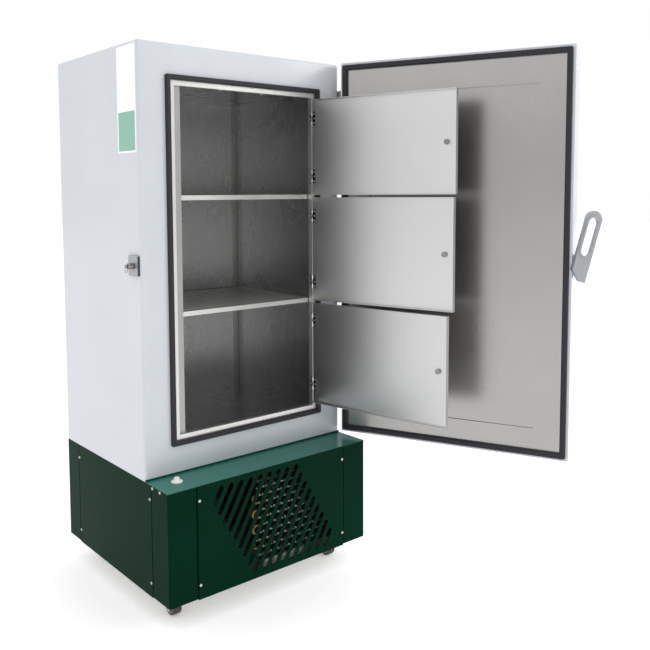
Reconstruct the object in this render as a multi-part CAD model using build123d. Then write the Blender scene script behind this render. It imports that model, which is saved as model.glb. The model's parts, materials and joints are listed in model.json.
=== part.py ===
from build123d import *
import math
import os

# Upright ultra low temperature freezer: a white insulated cabinet on a green machine base with casters.
# Millimetres and degrees. +Z is up, +X is to the right of a person facing the doors, -Y is the front.
# The origin is on the floor, under the middle of the base. Doors are drawn closed, then swung open.

# Overall
CABINET_WIDTH = 800
CABINET_DEPTH = 580
CABINET_HEIGHT = 1339
LEDGE_DEPTH = 135
BASE_HEIGHT = 353
CASTER_HEIGHT = 84

# Cabinet walls
SKIN = 1.5
CABINET_ROUND = 8
EDGE_RADIUS = 4
WALL_SIDE = 109
WALL_TOP = 110
WALL_BOTTOM = 107
WALL_BACK = 95
LINER = 1.0

# Breaker strips round the mouth, and the strip that the inner doors catch on
STRIP_DEPTH = 18
STRIP_WIDTH = 16
CATCH_STRIP_WIDTH = 27
CATCH_GAP = 0.8

# Gaskets
CABINET_GASKET_WIDTH = 16
DOOR_GASKET_WIDTH = 18
GASKET_CORNER = 6
GASKET_INNER_CORNER = 1.5
GASKET_ROUND = 4
GASKET_SQUEEZE = 0.6
DOOR_GAP = 12

# Main door
DOOR_THICKNESS = 92
DOOR_SIDE_GAP = 3
DOOR_BOTTOM_GAP = 15.2
DOOR_TOP_GAP = 0.5
DOOR_GASKET_INSET = 8
DOOR_LIP = 16
DOOR_RECESS = 4
DOOR_RECESS_MARGIN = 4
DOOR_OPEN = 113.8

# Main door hinges
HINGE_SETBACK = 2
HINGE_FORWARD = 25.5
HINGE_BARREL = 8
HINGE_PIN = 4
HINGE_LEAF = 3
HINGE_HEIGHT = 110
HINGE_INSET = 93
HINGE_REACH_CABINET = 45
HINGE_REACH_DOOR = 52
HINGE_RELIEF = 4.5
KNUCKLE_GAP = 0.5
RUNNING_CLEARANCE = 0.05

# Inner doors, from the bottom up, split at shares of the mouth's height
INNER_SHEET = 1.2
INNER_FLANGE = 16
INNER_HINGE_BARREL = 3
INNER_HINGE_PIN = 1.5
INNER_HINGE_LEAF = 1.2
INNER_HINGE_HEIGHT = 47
INNER_HINGE_REACH = 15
INNER_HINGE_INSET = 41
INNER_HINGE_FORWARD = 4
INNER_HINGE_SETBACK = 1
INNER_EDGE_GAP = 1.5
INNER_FREE_GAP = 6
INNER_TOP_GAP = 7
INNER_BOTTOM_GAP = 14
INNER_SPLIT = 9
INNER_SPLIT_SHARES = {"lower": 0.3463, "upper": 0.6867}
INNER_OPEN = {"lower": 101.2, "middle": 105.3, "upper": 106.7}
KNOB_INSET = 36
KNOB_RADIUS = 13
KNOB_HEIGHT = 8
KNOB_STUD = 4
KNOB_NUT_RADIUS = 9
KNOB_NUT_HEIGHT = 6

# Shelves, a little above the splits between the inner doors
SHELF_OVER_SPLIT = {"lower": 8.5, "upper": 5.5}
SHELF_SHEET = 1.2
SHELF_LIP = 15
SHELF_SETBACK = 4
SHELF_SIDE_GAP = 1.5
SHELF_BACK_GAP = 14
SHELF_BEADS = 9
SHELF_BEAD_RADIUS = 4
SHELF_BEAD_RISE = 1.5
SHELF_BEAD_INSET = 40
RAIL = 16
RAIL_SHEET = 1.5
CORNER_LEG = 22
CORNER_SHEET = 2

# Latch handle
LEVER_THICKNESS = 12
LEVER_HALF_WIDTH = 28
LEVER_TOP = 111.5
LEVER_BOTTOM = -88
LEVER_CUT_LEFT = -58
LEVER_CUT_RIGHT = 20
LEVER_AXIS_OFFSET = 13.5
LEVER_TILT = 16.5
LEVER_SWING = 41.9
LEVER_HEIGHT = 690
LEVER_HOLE_RADIUS = 17.5
LEVER_HOLE_LOW = 11
LEVER_HOLE_HIGH = 101
LEVER_RIM = 7
LEVER_RIM_RISE = 1.5
LEVER_REAR = 33
LEVER_OVERHANG = 9
LEVER_CORNER_GAP = 0.9
PIVOT_BOSS = 9
PIVOT_PIN = 4
PIVOT_WEB = 8
PIVOT_STANDOFF = 1
BOSS_LOW = -58
BOSS_HIGH = -18
LUG_THICKNESS = 10
BRACKET_PLATE = 2.4
BRACKET_MARGIN = 12

# Strike, lock and key on the latch side of the cabinet
STRIKE_THICKNESS = 8
STRIKE_FRONT = 5
STRIKE_LENGTH = 59
STRIKE_BELOW_LEVER = 24.5
STRIKE_HEIGHT = 63
STRIKE_ROUND = 3
LOCK_RADIUS = 9
LOCK_LENGTH = 22
LOCK_SETBACK = 28
KEY_THICKNESS = 2.5
KEY_WIDTH = 10
KEY_SHANK = 16
KEY_BOW = 8
KEY_HOLE = 2.2
RING_RADIUS = 8
RING_WIRE = 0.9

# Controller on the outside of the door
PANEL_WIDTH = 190
PANEL_HEIGHT = 110
PANEL_PROUD = 6
PANEL_BELOW_TOP = 249
PANEL_ROUND = 10
WINDOW_WIDTH = 120
WINDOW_HEIGHT = 45
WINDOW_RISE = 18
WINDOW_DEPTH = 3
KEYPAD_WIDTH = 150
KEYPAD_HEIGHT = 26
KEYPAD_DROP = 30
KEYPAD_DEPTH = 1.5

# Machine base
SHEET = 2
POST_FRONT = 98
POST_SIDE = 97
POST_SIDE_REAR = 90
SEAM = 4
PANEL_TOP_GAP = 0.75
PANEL_DROP = 3
FRONT_PROUD = 1.5
PANEL_FLANGE = 14
UPSTAND = 6
COVER_FLANGE = 14
PAN_FLANGE = 22
PAN_SHEET = 2.5
FRAME_LEG = 30
FRAME_SHEET = 3

# Slots of the front grille: a square field of round-ended slots turned to a steep slant
SLOT_COUNT = 17
SLOT_PITCH = 32.3
SLOT_LONGEST = 364
SLOT_SHORTEST = 66
SLOT_WIDTH = 16.8
SLOT_SLANT = 60
SLOT_RISE = 3

# Rear louvres
LOUVRE_COLUMNS = 2
LOUVRE_ROWS = 8
LOUVRE_LENGTH = 200
LOUVRE_WIDTH = 9
LOUVRE_PITCH_X = 240
LOUVRE_PITCH_Z = 26

# Screws
SCREW_RADIUS = 4.5
SCREW_RISE = 2.5
SCREW_INSET = 6
SCREW_LOW = 43
SCREW_HIGH = 46
COVER_SCREW_DROP = 5.5

# Door rest cone on the ledge
CONE_RADIUS = 18
CONE_NECK_RADIUS = 12
CONE_TOP_RADIUS = 7
CONE_BRIM = 2.5
CONE_HEIGHT = 14.8
CONE_INSET = 76
CONE_FORWARD = 60

# Condenser, fan and motor
CONDENSER_SIDE_GAP = 140
CONDENSER_WIDTH = 290
CONDENSER_DEPTH = 36
CONDENSER_SETBACK = 34
CONDENSER_LIFT = 26
FIN_COUNT = 20
FIN_SHEET = 1.0
TUBE_RADIUS = 4.8
TUBE_ROWS = 10
TUBE_PITCH = 25.4
TUBE_OVERHANG = 14
TUBE_CLEARANCE = 0.4
SHROUD_GAP = 8
SHROUD_SHEET = 2
SHROUD_RIM = 22
FAN_RADIUS = 118
FAN_TIP_GAP = 6
FAN_HUB = 26
FAN_HUB_DEPTH = 22
FAN_BLADES = 5
FAN_BLADE_SHEET = 2
FAN_BLADE_PITCH = 28
FAN_BLADE_WIDTH = 62
FAN_SHAFT = 4
FAN_GAP = 6
MOTOR_RADIUS = 42
MOTOR_DEPTH = 60
MOTOR_ARM = 14

# Compressors
COMPRESSOR_RADIUS = 88
COMPRESSOR_HEIGHT = 190
COMPRESSOR_DOME = 45
COMPRESSOR_BOX_GAP = 14
COMPRESSOR_SIDE_GAP = 90
COMPRESSOR_SETBACK = 207.5
FOOT_LENGTH = 210
FOOT_WIDTH = 150
FOOT_SHEET = 4
GROMMET_RADIUS = 14
GROMMET_HEIGHT = 16
GROMMET_INSET = 18

# Electrical box, drier and supply inlet
BOX_WIDTH = 120
BOX_DEPTH = 150
BOX_HEIGHT = 190
BOX_SIDE_GAP = 14
BOX_BACK_SETBACK = 210
DRIER_RADIUS = 16
DRIER_LENGTH = 110
DRIER_NECK = 5
INLET_WIDTH = 50
INLET_HEIGHT = 30
INLET_DEPTH = 26
INLET_RIM = 5.5
INLET_FLOOR = 6
INLET_FROM_SIDE = 170
INLET_LIFT = 60

# Casters
CASTER_INSET_FRONT = 78
CASTER_INSET_REAR = 106
CASTER_INSET_Y = 94
CASTER_TRAIL = 18
CASTER_PLATE_X = 78
CASTER_PLATE_Y = 66
CASTER_PLATE = 3
CASTER_CUP_RADIUS = 22
CASTER_CUP = 6
WHEEL_RADIUS = 26
WHEEL_WIDTH = 30
TYRE = 7
TYRE_ROUND = 3
HUB_BOSS = 11
HUB_WEB = 8
AXLE = 4
FORK_SHEET = 3
FORK_GAP = 1.5
FORK_TOP_GAP = 0.4
FORK_LEG_WIDTH = 22
FORK_CROWN = 7
STEM = 5
RIM = 0.3

# Places worked out from the sizes above
left = -CABINET_WIDTH / 2
right = CABINET_WIDTH / 2
base_depth = CABINET_DEPTH + LEDGE_DEPTH
base_front = -base_depth / 2
back = base_depth / 2
face = base_front + LEDGE_DEPTH
base_bottom = CASTER_HEIGHT
base_top = base_bottom + BASE_HEIGHT
cabinet_top = base_top + CABINET_HEIGHT

cavity_left = left + WALL_SIDE
cavity_right = right - WALL_SIDE
cavity_bottom = base_top + WALL_BOTTOM
cavity_top = cabinet_top - WALL_TOP
cavity_back = back - WALL_BACK

mouth_left = cavity_left + STRIP_WIDTH
mouth_right = cavity_right - STRIP_WIDTH
mouth_bottom = cavity_bottom + STRIP_WIDTH
mouth_top = cavity_top - STRIP_WIDTH
liner_front = face + STRIP_DEPTH

door_left = left + DOOR_SIDE_GAP
door_right = right - DOOR_SIDE_GAP
door_bottom = base_top + DOOR_BOTTOM_GAP
door_top = cabinet_top - DOOR_TOP_GAP
land = face - DOOR_GAP
door_front = land - DOOR_THICKNESS
hinge_x = right - HINGE_SETBACK
hinge_y = face - HINGE_FORWARD
gasket_height = DOOR_GAP - GASKET_SQUEEZE

inner_x = mouth_right - INNER_HINGE_SETBACK
inner_y = face - INNER_HINGE_FORWARD
inner_warm = inner_y - INNER_SHEET / 2
inner_cold = inner_y + INNER_SHEET / 2
mouth_height = mouth_top - mouth_bottom
splits = {name: mouth_bottom + share * mouth_height for name, share in INNER_SPLIT_SHARES.items()}

nodes = {}


def keep(name, *shapes):
    """Files each shape's solids under one node name."""
    nodes.setdefault(name, []).extend(s for shape in shapes for s in shape.solids())


def slab(x, y, z):
    """A block between low and high values along each axis."""
    middle = Pos((x[0] + x[1]) / 2, (y[0] + y[1]) / 2, (z[0] + z[1]) / 2)
    return middle * Box(x[1] - x[0], y[1] - y[0], z[1] - z[0])


def rod(radius, start, end):
    """A round bar from one point to another."""
    run = Vector(*end) - Vector(*start)
    return extrude(Plane(origin=start, z_dir=run) * Circle(radius), run.length)


def turned(shape, x, y, angle):
    """The shape swung about the upright axis through x, y."""
    return shape.rotate(Axis((x, y, 0), (0, 0, 1)), angle)


def swing_door(shape):
    """A piece of the main door, from closed to open."""
    return turned(shape, hinge_x, hinge_y, DOOR_OPEN)


def frame_bars(outer, inner, y):
    """Four mitred bars between two upright rectangles, each given as x low, x high, z low, z high."""
    ox0, ox1, oz0, oz1 = outer
    ix0, ix1, iz0, iz1 = inner
    corners_out = [(ox0, oz0), (ox1, oz0), (ox1, oz1), (ox0, oz1)]
    corners_in = [(ix0, iz0), (ix1, iz0), (ix1, iz1), (ix0, iz1)]
    plane = Plane(origin=(0, y[0], 0), x_dir=(1, 0, 0), z_dir=(0, -1, 0))
    bars = []
    for i in range(4):
        j = (i + 1) % 4
        outline = [corners_out[i], corners_out[j], corners_in[j], corners_in[i]]
        bars.append(extrude(plane * make_face(Polyline(*outline, close=True)), -(y[1] - y[0])))
    return bars


def gasket_ring(x, z, width, y_root, height):
    """A bulb gasket inside an upright rectangle, standing forward of y_root, or behind it if height is negative."""
    plane = Plane(origin=(0, y_root, 0), x_dir=(1, 0, 0), z_dir=(0, -1, 0))
    middle = Pos((x[0] + x[1]) / 2, (z[0] + z[1]) / 2)
    outer = middle * RectangleRounded(x[1] - x[0], z[1] - z[0], GASKET_CORNER)
    inner = middle * RectangleRounded(x[1] - x[0] - 2 * width, z[1] - z[0] - 2 * width, GASKET_INNER_CORNER)
    ring = extrude(plane * (outer - inner), height)
    crest = ring.faces().sort_by(Axis.Y)[0 if height > 0 else -1]
    return fillet(crest.edges(), GASKET_ROUND)


def butt_hinge(x, y, z_low, height, barrel, pin, relief, fixed_plate, moving_plate):
    """Fixed leaf, moving leaf and pin of an upright three-knuckle hinge. A plate is its x and y limits.

    Each plate stands clear of the other leaf's knuckles by the relief.
    """
    third = height / 3
    cuts = [z_low, z_low + third, z_low + 2 * third, z_low + height]

    def knuckle(radius, i, grow):
        low = cuts[i] - grow
        return rod(radius, (x, y, low), (x, y, cuts[i + 1] + grow))

    bore = rod(pin + RUNNING_CLEARANCE, (x, y, z_low - 1), (x, y, z_low + height + 1))
    room = barrel + relief
    fixed = slab(*fixed_plate, (z_low, z_low + height)) - knuckle(room, 1, 0)
    moving = slab(*moving_plate, (z_low, z_low + height)) - knuckle(room, 0, 1) - knuckle(room, 2, 1)
    fixed = fixed + knuckle(barrel, 0, -KNUCKLE_GAP / 2) + knuckle(barrel, 2, -KNUCKLE_GAP / 2) - bore
    moving = moving + knuckle(barrel, 1, -KNUCKLE_GAP / 2) - bore
    return fixed, moving, rod(pin, (x, y, z_low), (x, y, z_low + height))


def rounded_body(inset):
    """The cabinet's outline drawn in by an inset, with its upright and top edges rounded."""
    body = slab((left + inset, right - inset), (face + inset, back - inset), (base_top + inset, cabinet_top - inset))
    edges = body.edges().filter_by(Axis.Z) + body.faces().sort_by(Axis.Z)[-1].edges()
    return fillet(edges, CABINET_ROUND - inset)


def cabinet():
    mouth = slab((cavity_left, cavity_right), (face - 1, face + SKIN + 1), (cavity_bottom, cavity_top))
    foam = rounded_body(SKIN)
    keep("outer_shell", rounded_body(0) - foam - mouth)

    x = (left, cavity_left, cavity_right, right)
    y = (face, cavity_back, back)
    z = (base_top, cavity_bottom, cavity_top, cabinet_top)
    walls = (
        slab((x[0], x[1]), (y[0], y[2]), (z[0], z[3])),
        slab((x[2], x[3]), (y[0], y[2]), (z[0], z[3])),
        slab((x[1], x[2]), (y[1], y[2]), (z[1], z[2])),
        slab((x[1], x[2]), (y[0], y[2]), (z[0], z[1])),
        slab((x[1], x[2]), (y[0], y[2]), (z[2], z[3])),
    )
    keep("insulation", *[foam & wall for wall in walls])

    tub = slab((cavity_left, cavity_right), (liner_front, cavity_back), (cavity_bottom, cavity_top))
    room = slab(
        (cavity_left + LINER, cavity_right - LINER),
        (liner_front - 1, cavity_back - LINER),
        (cavity_bottom + LINER, cavity_top - LINER),
    )
    keep("inner_liner", tub - room)

    outer_rim = (cavity_left, cavity_right, cavity_bottom, cavity_top)
    inner_rim = (mouth_left, mouth_right, mouth_bottom, mouth_top)
    keep("breaker_strips", *frame_bars(outer_rim, inner_rim, (face, liner_front)))
    catch = slab(
        (mouth_left, mouth_left + CATCH_STRIP_WIDTH),
        (inner_warm + INNER_FLANGE + CATCH_GAP, liner_front),
        (mouth_bottom, mouth_top),
    )
    keep("catch_strip", catch)

    ring = gasket_ring(
        (cavity_left - CABINET_GASKET_WIDTH, cavity_right + CABINET_GASKET_WIDTH),
        (cavity_bottom - CABINET_GASKET_WIDTH, cavity_top + CABINET_GASKET_WIDTH),
        CABINET_GASKET_WIDTH,
        face,
        gasket_height,
    )
    keep("cabinet_gasket", ring)


def shelves():
    x0 = cavity_left + LINER
    x1 = cavity_right - LINER
    front = liner_front + SHELF_SETBACK
    rear = cavity_back - LINER - SHELF_BACK_GAP
    for name, over in SHELF_OVER_SPLIT.items():
        top = splits[name] + over
        low = x0 + SHELF_SIDE_GAP
        high = x1 - SHELF_SIDE_GAP
        tray = slab((low, high), (front, rear), (top - SHELF_LIP, top))
        tray -= slab(
            (low - 1, high + 1),
            (front + SHELF_SHEET, rear - SHELF_SHEET),
            (top - SHELF_LIP - 1, top - SHELF_SHEET),
        )
        pitch = (rear - front - 2 * SHELF_BEAD_INSET) / (SHELF_BEADS - 1)
        for i in range(SHELF_BEADS):
            y = front + SHELF_BEAD_INSET + i * pitch
            z = top + SHELF_BEAD_RISE - SHELF_BEAD_RADIUS
            bead = rod(SHELF_BEAD_RADIUS, (low + SHELF_BEAD_INSET, y, z), (high - SHELF_BEAD_INSET, y, z))
            bead &= slab((low, high), (front, rear), (top - SHELF_SHEET, top + SHELF_BEAD_RISE))
            tray += bead
        keep(f"shelf_{name}", tray)

        under = top - SHELF_SHEET
        for wall, inward in ((x0, 1), (x1, -1)):
            span = sorted((wall, wall + inward * RAIL))
            web = sorted((wall, wall + inward * RAIL_SHEET))
            run = (front + SHELF_SHEET + 1, rear - SHELF_SHEET - 1)
            angle = slab(span, run, (under - RAIL_SHEET, under)) + slab(web, run, (under - RAIL, under))
            keep("shelf_supports", angle)

    for wall, inward in ((x0, 1), (x1, -1)):
        z = (cavity_bottom + LINER, cavity_top - LINER)
        rear_wall = cavity_back - LINER
        along = sorted((wall, wall + inward * CORNER_LEG))
        web = sorted((wall, wall + inward * CORNER_SHEET))
        post = slab(along, (rear_wall - CORNER_SHEET, rear_wall), z)
        post += slab(web, (rear_wall - SHELF_BACK_GAP + 1, rear_wall), z)
        keep("shelf_supports", post)


def inner_doors():
    lows = [mouth_bottom + INNER_BOTTOM_GAP] + [z + INNER_SPLIT / 2 for z in splits.values()]
    highs = [z - INNER_SPLIT / 2 for z in splits.values()] + [mouth_top - INNER_TOP_GAP]
    tip = inner_warm + INNER_FLANGE
    free = mouth_left + INNER_FREE_GAP
    edge = inner_x - INNER_EDGE_GAP
    for (name, angle), z0, z1 in zip(INNER_OPEN.items(), lows, highs):
        tray = slab((free, edge), (inner_warm, tip), (z0, z1))
        tray -= slab(
            (free + INNER_SHEET, edge + INNER_SHEET),
            (inner_cold, tip + INNER_SHEET),
            (z0 + INNER_SHEET, z1 - INNER_SHEET),
        )
        fittings = []
        for z in (z0 + INNER_HINGE_INSET, z1 - INNER_HINGE_INSET - INNER_HINGE_HEIGHT):
            fixed, moving, pin = butt_hinge(
                inner_x, inner_y, z, INNER_HINGE_HEIGHT, INNER_HINGE_BARREL, INNER_HINGE_PIN, KNUCKLE_GAP,
                ((mouth_right - INNER_HINGE_LEAF, mouth_right), (inner_y, inner_y + INNER_HINGE_REACH)),
                ((inner_x - INNER_HINGE_REACH, inner_x), (inner_cold, inner_cold + INNER_HINGE_LEAF)),
            )
            keep("inner_hinge_fixed_leaves", fixed, pin)
            fittings.append(moving)
            tray -= slab(
                (inner_x - INNER_HINGE_BARREL - 2 * KNUCKLE_GAP, inner_x),
                (inner_warm - 1, tip + 1),
                (z - 1, z + INNER_HINGE_HEIGHT + 1),
            )
        x = free + KNOB_INSET
        z = (z0 + z1) / 2
        knob = rod(KNOB_RADIUS, (x, inner_warm, z), (x, inner_warm - KNOB_HEIGHT, z))
        knob = fillet(knob.faces().sort_by(Axis.Y)[0].edges(), KNOB_HEIGHT / 4)
        knob += rod(KNOB_STUD, (x, inner_warm, z), (x, inner_cold, z))
        knob += rod(KNOB_NUT_RADIUS, (x, inner_cold, z), (x, inner_cold + KNOB_NUT_HEIGHT, z))
        tray -= rod(KNOB_STUD + RIM, (x, inner_warm - 1, z), (x, inner_cold + 1, z))
        fittings.append(knob)
        keep(f"inner_door_{name}", turned(tray, inner_x, inner_y, angle))
        keep(f"inner_fittings_{name}", *[turned(s, inner_x, inner_y, angle) for s in fittings])


def main_door():
    x = (door_left, door_right)
    z = (door_bottom, door_top)
    hinge_zs = [base_top + HINGE_INSET, cabinet_top - HINGE_INSET - HINGE_HEIGHT]
    room = HINGE_BARREL + 2 * KNUCKLE_GAP
    notches = [
        slab((hinge_x - room, right + 1), (hinge_y - room, land + 1), (h - 1, h + HINGE_HEIGHT + 1))
        for h in hinge_zs
    ]

    def shape(inset, y_high):
        block = slab((x[0] + inset, x[1] - inset), (door_front + inset, y_high), (z[0] + inset, z[1] - inset))
        edges = block.edges().filter_by(Axis.Y) + block.faces().sort_by(Axis.Y)[0].edges()
        return fillet(edges, EDGE_RADIUS - inset)

    window = slab(
        (x[0] + DOOR_LIP, x[1] - DOOR_LIP), (land - SKIN - 1, land + 1), (z[0] + DOOR_LIP, z[1] - DOOR_LIP)
    )
    skin = shape(0, land) - shape(SKIN, land - SKIN) - window
    recess_x = (cavity_left + DOOR_RECESS_MARGIN, cavity_right - DOOR_RECESS_MARGIN)
    recess_z = (cavity_bottom + DOOR_RECESS_MARGIN, cavity_top - DOOR_RECESS_MARGIN)
    floor = land - DOOR_RECESS
    core = shape(SKIN, floor - LINER)
    panel = slab((x[0] + DOOR_LIP, x[1] - DOOR_LIP), (land - LINER, land), (z[0] + DOOR_LIP, z[1] - DOOR_LIP))
    panel += slab(
        (recess_x[0] - LINER, recess_x[1] + LINER), (floor - LINER, land), (recess_z[0] - LINER, recess_z[1] + LINER)
    )
    dish = slab(recess_x, (floor, land + LINER), recess_z)
    panel -= fillet(dish.edges().filter_by(Axis.Y), EDGE_RADIUS)
    for notch in notches:
        skin -= notch
        core -= notch
    keep("door_skin", swing_door(skin))
    keep("door_core", swing_door(core))
    keep("door_liner", swing_door(panel))

    ring = gasket_ring(
        (x[0] + DOOR_GASKET_INSET, x[1] - DOOR_GASKET_INSET),
        (z[0] + DOOR_GASKET_INSET, z[1] - DOOR_GASKET_INSET),
        DOOR_GASKET_WIDTH,
        land,
        -gasket_height,
    )
    keep("door_gasket", swing_door(ring))

    for h in hinge_zs:
        fixed, moving, pin = butt_hinge(
            hinge_x, hinge_y, h, HINGE_HEIGHT, HINGE_BARREL, HINGE_PIN, HINGE_RELIEF,
            ((right, right + HINGE_LEAF), (hinge_y, face + HINGE_REACH_CABINET)),
            ((door_right, door_right + HINGE_LEAF), (hinge_y - HINGE_REACH_DOOR, hinge_y)),
        )
        keep("cabinet_hinge_leaves", fixed, pin)
        keep("door_hinge_leaves", swing_door(moving))

    controller()
    latch()


def controller():
    plane = Plane(origin=(0, door_front, cabinet_top - PANEL_BELOW_TOP), x_dir=(1, 0, 0), z_dir=(0, -1, 0))
    bezel = extrude(plane * RectangleRounded(PANEL_WIDTH, PANEL_HEIGHT, PANEL_ROUND), PANEL_PROUD)
    bezel = fillet(bezel.faces().sort_by(Axis.Y)[0].edges(), PANEL_PROUD / 3)
    crest = plane.offset(PANEL_PROUD)
    window = Pos(0, WINDOW_RISE) * Rectangle(WINDOW_WIDTH, WINDOW_HEIGHT)
    keys = Pos(0, -KEYPAD_DROP) * RectangleRounded(KEYPAD_WIDTH, KEYPAD_HEIGHT, PANEL_ROUND / 2)
    glass = extrude(crest * window, -WINDOW_DEPTH)
    pad = extrude(crest * keys, -KEYPAD_DEPTH)
    keep("control_bezel", swing_door(bezel - glass - pad))
    keep("control_window", swing_door(glass))
    keep("control_keypad", swing_door(pad))


def latch():
    # Along the grip, outwards and forwards, and square to it, towards the cabinet's side.
    sway = math.radians(LEVER_SWING)
    along = Vector(-math.cos(sway), -math.sin(sway), 0)
    square = Vector(-math.sin(sway), math.cos(sway), 0)
    z0 = base_top + LEVER_HEIGHT
    half = LEVER_THICKNESS / 2
    # The lever passes just outside the door's inner edge, and its rear end stops short of the cabinet.
    corner = Vector(door_left, land, z0)
    middle = corner + square * (half + LEVER_CORNER_GAP) + along * (LEVER_REAR - LEVER_OVERHANG)
    pivot = middle - square * (half + PIVOT_STANDOFF + PIVOT_BOSS)

    a1 = LEVER_AXIS_OFFSET - LEVER_HALF_WIDTH
    a2 = LEVER_AXIS_OFFSET + LEVER_HALF_WIDTH
    outline = (
        (a1, LEVER_TOP), (a1, LEVER_CUT_LEFT), (LEVER_CUT_RIGHT, LEVER_BOTTOM), (a2, LEVER_BOTTOM), (a2, LEVER_TOP)
    )
    blank = make_face(Polyline(*outline, close=True)) + Pos(LEVER_AXIS_OFFSET, LEVER_TOP) * Circle(LEVER_HALF_WIDTH)

    def loop(radius):
        length = LEVER_HOLE_HIGH - LEVER_HOLE_LOW + 2 * radius
        at = Pos(LEVER_AXIS_OFFSET, (LEVER_HOLE_LOW + LEVER_HOLE_HIGH) / 2)
        return at * SlotOverall(length, 2 * radius, rotation=90)

    tilt = Rot(0, 0, -LEVER_TILT)
    hidden = Plane(origin=middle - square * half, x_dir=along, z_dir=square)
    rim = loop(LEVER_HOLE_RADIUS + LEVER_RIM) - loop(LEVER_HOLE_RADIUS)
    lever = extrude(hidden * (tilt * (blank - loop(LEVER_HOLE_RADIUS))), LEVER_THICKNESS)
    lever += extrude(hidden.offset(LEVER_THICKNESS) * (tilt * rim), LEVER_RIM_RISE)
    lever += rod(PIVOT_BOSS, pivot + Vector(0, 0, BOSS_LOW), pivot + Vector(0, 0, BOSS_HIGH))
    web = Pos(0, (BOSS_LOW + BOSS_HIGH) / 2) * Rectangle(2 * PIVOT_WEB, BOSS_HIGH - BOSS_LOW)
    lever += extrude(Plane(origin=pivot, x_dir=along, z_dir=square) * web, PIVOT_BOSS + PIVOT_STANDOFF + half)
    span = (BOSS_LOW - KNUCKLE_GAP - LUG_THICKNESS, BOSS_HIGH + KNUCKLE_GAP + LUG_THICKNESS)
    bore = rod(PIVOT_PIN + RUNNING_CLEARANCE, pivot + Vector(0, 0, span[0] - 1), pivot + Vector(0, 0, span[1] + 1))
    keep("latch_handle", swing_door(lever - bore))

    plate_y = (pivot.Y - PIVOT_BOSS - BRACKET_MARGIN, pivot.Y + PIVOT_BOSS)
    bracket = slab((door_left - BRACKET_PLATE, door_left), plate_y, (z0 + span[0] - BRACKET_MARGIN, z0 + span[1]))
    for low in (span[0], BOSS_HIGH + KNUCKLE_GAP):
        z = (z0 + low, z0 + low + LUG_THICKNESS)
        lug = slab((pivot.X, door_left), (pivot.Y - PIVOT_BOSS, pivot.Y + PIVOT_BOSS), z)
        bracket += lug + rod(PIVOT_BOSS, (pivot.X, pivot.Y, z[0]), (pivot.X, pivot.Y, z[1]))
    pin = rod(PIVOT_PIN, pivot + Vector(0, 0, span[0]), pivot + Vector(0, 0, span[1]))
    keep("latch_bracket", swing_door(bracket - bore), swing_door(pin))


def lock():
    y0 = face + STRIKE_FRONT
    z = base_top + LEVER_HEIGHT - STRIKE_BELOW_LEVER
    z_span = (z - STRIKE_HEIGHT / 2, z + STRIKE_HEIGHT / 2)
    strike = slab((left - STRIKE_THICKNESS, left), (y0, y0 + STRIKE_LENGTH), z_span)
    strike = fillet(strike.edges().filter_by(Axis.X), STRIKE_ROUND)
    y = face + LOCK_SETBACK
    tip = left - STRIKE_THICKNESS - LOCK_LENGTH
    barrel = rod(LOCK_RADIUS, (left - STRIKE_THICKNESS, y, z), (tip, y, z))
    barrel = chamfer(barrel.faces().sort_by(Axis.X)[0].edges(), KEY_THICKNESS / 2)
    keyway = rod(KEY_WIDTH / 2 + RUNNING_CLEARANCE, (tip - 1, y, z), (tip + KEY_SHANK + RIM, y, z))
    keep("lock_strike", strike)
    keep("lock_barrel", barrel - keyway)

    half = KEY_THICKNESS / 2
    shank = rod(KEY_WIDTH / 2, (tip, y, z), (tip + KEY_SHANK, y, z))
    bow = slab((tip - KEY_BOW, tip), (y - half, y + half), (z - KEY_WIDTH / 2, z + KEY_WIDTH / 2))
    hole = (tip - KEY_BOW / 2, z - KEY_WIDTH / 2 + KEY_HOLE + 1)
    bow -= rod(KEY_HOLE, (hole[0], y - KEY_WIDTH, hole[1]), (hole[0], y + KEY_WIDTH, hole[1]))
    keep("lock_key", shank + bow)
    hang = KEY_HOLE - RING_WIRE - RIM
    ring = Pos(hole[0], y, hole[1] - hang - RING_RADIUS) * Rot(0, 90, 0) * Torus(RING_RADIUS, RING_WIRE)
    keep("key_ring", ring)


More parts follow.
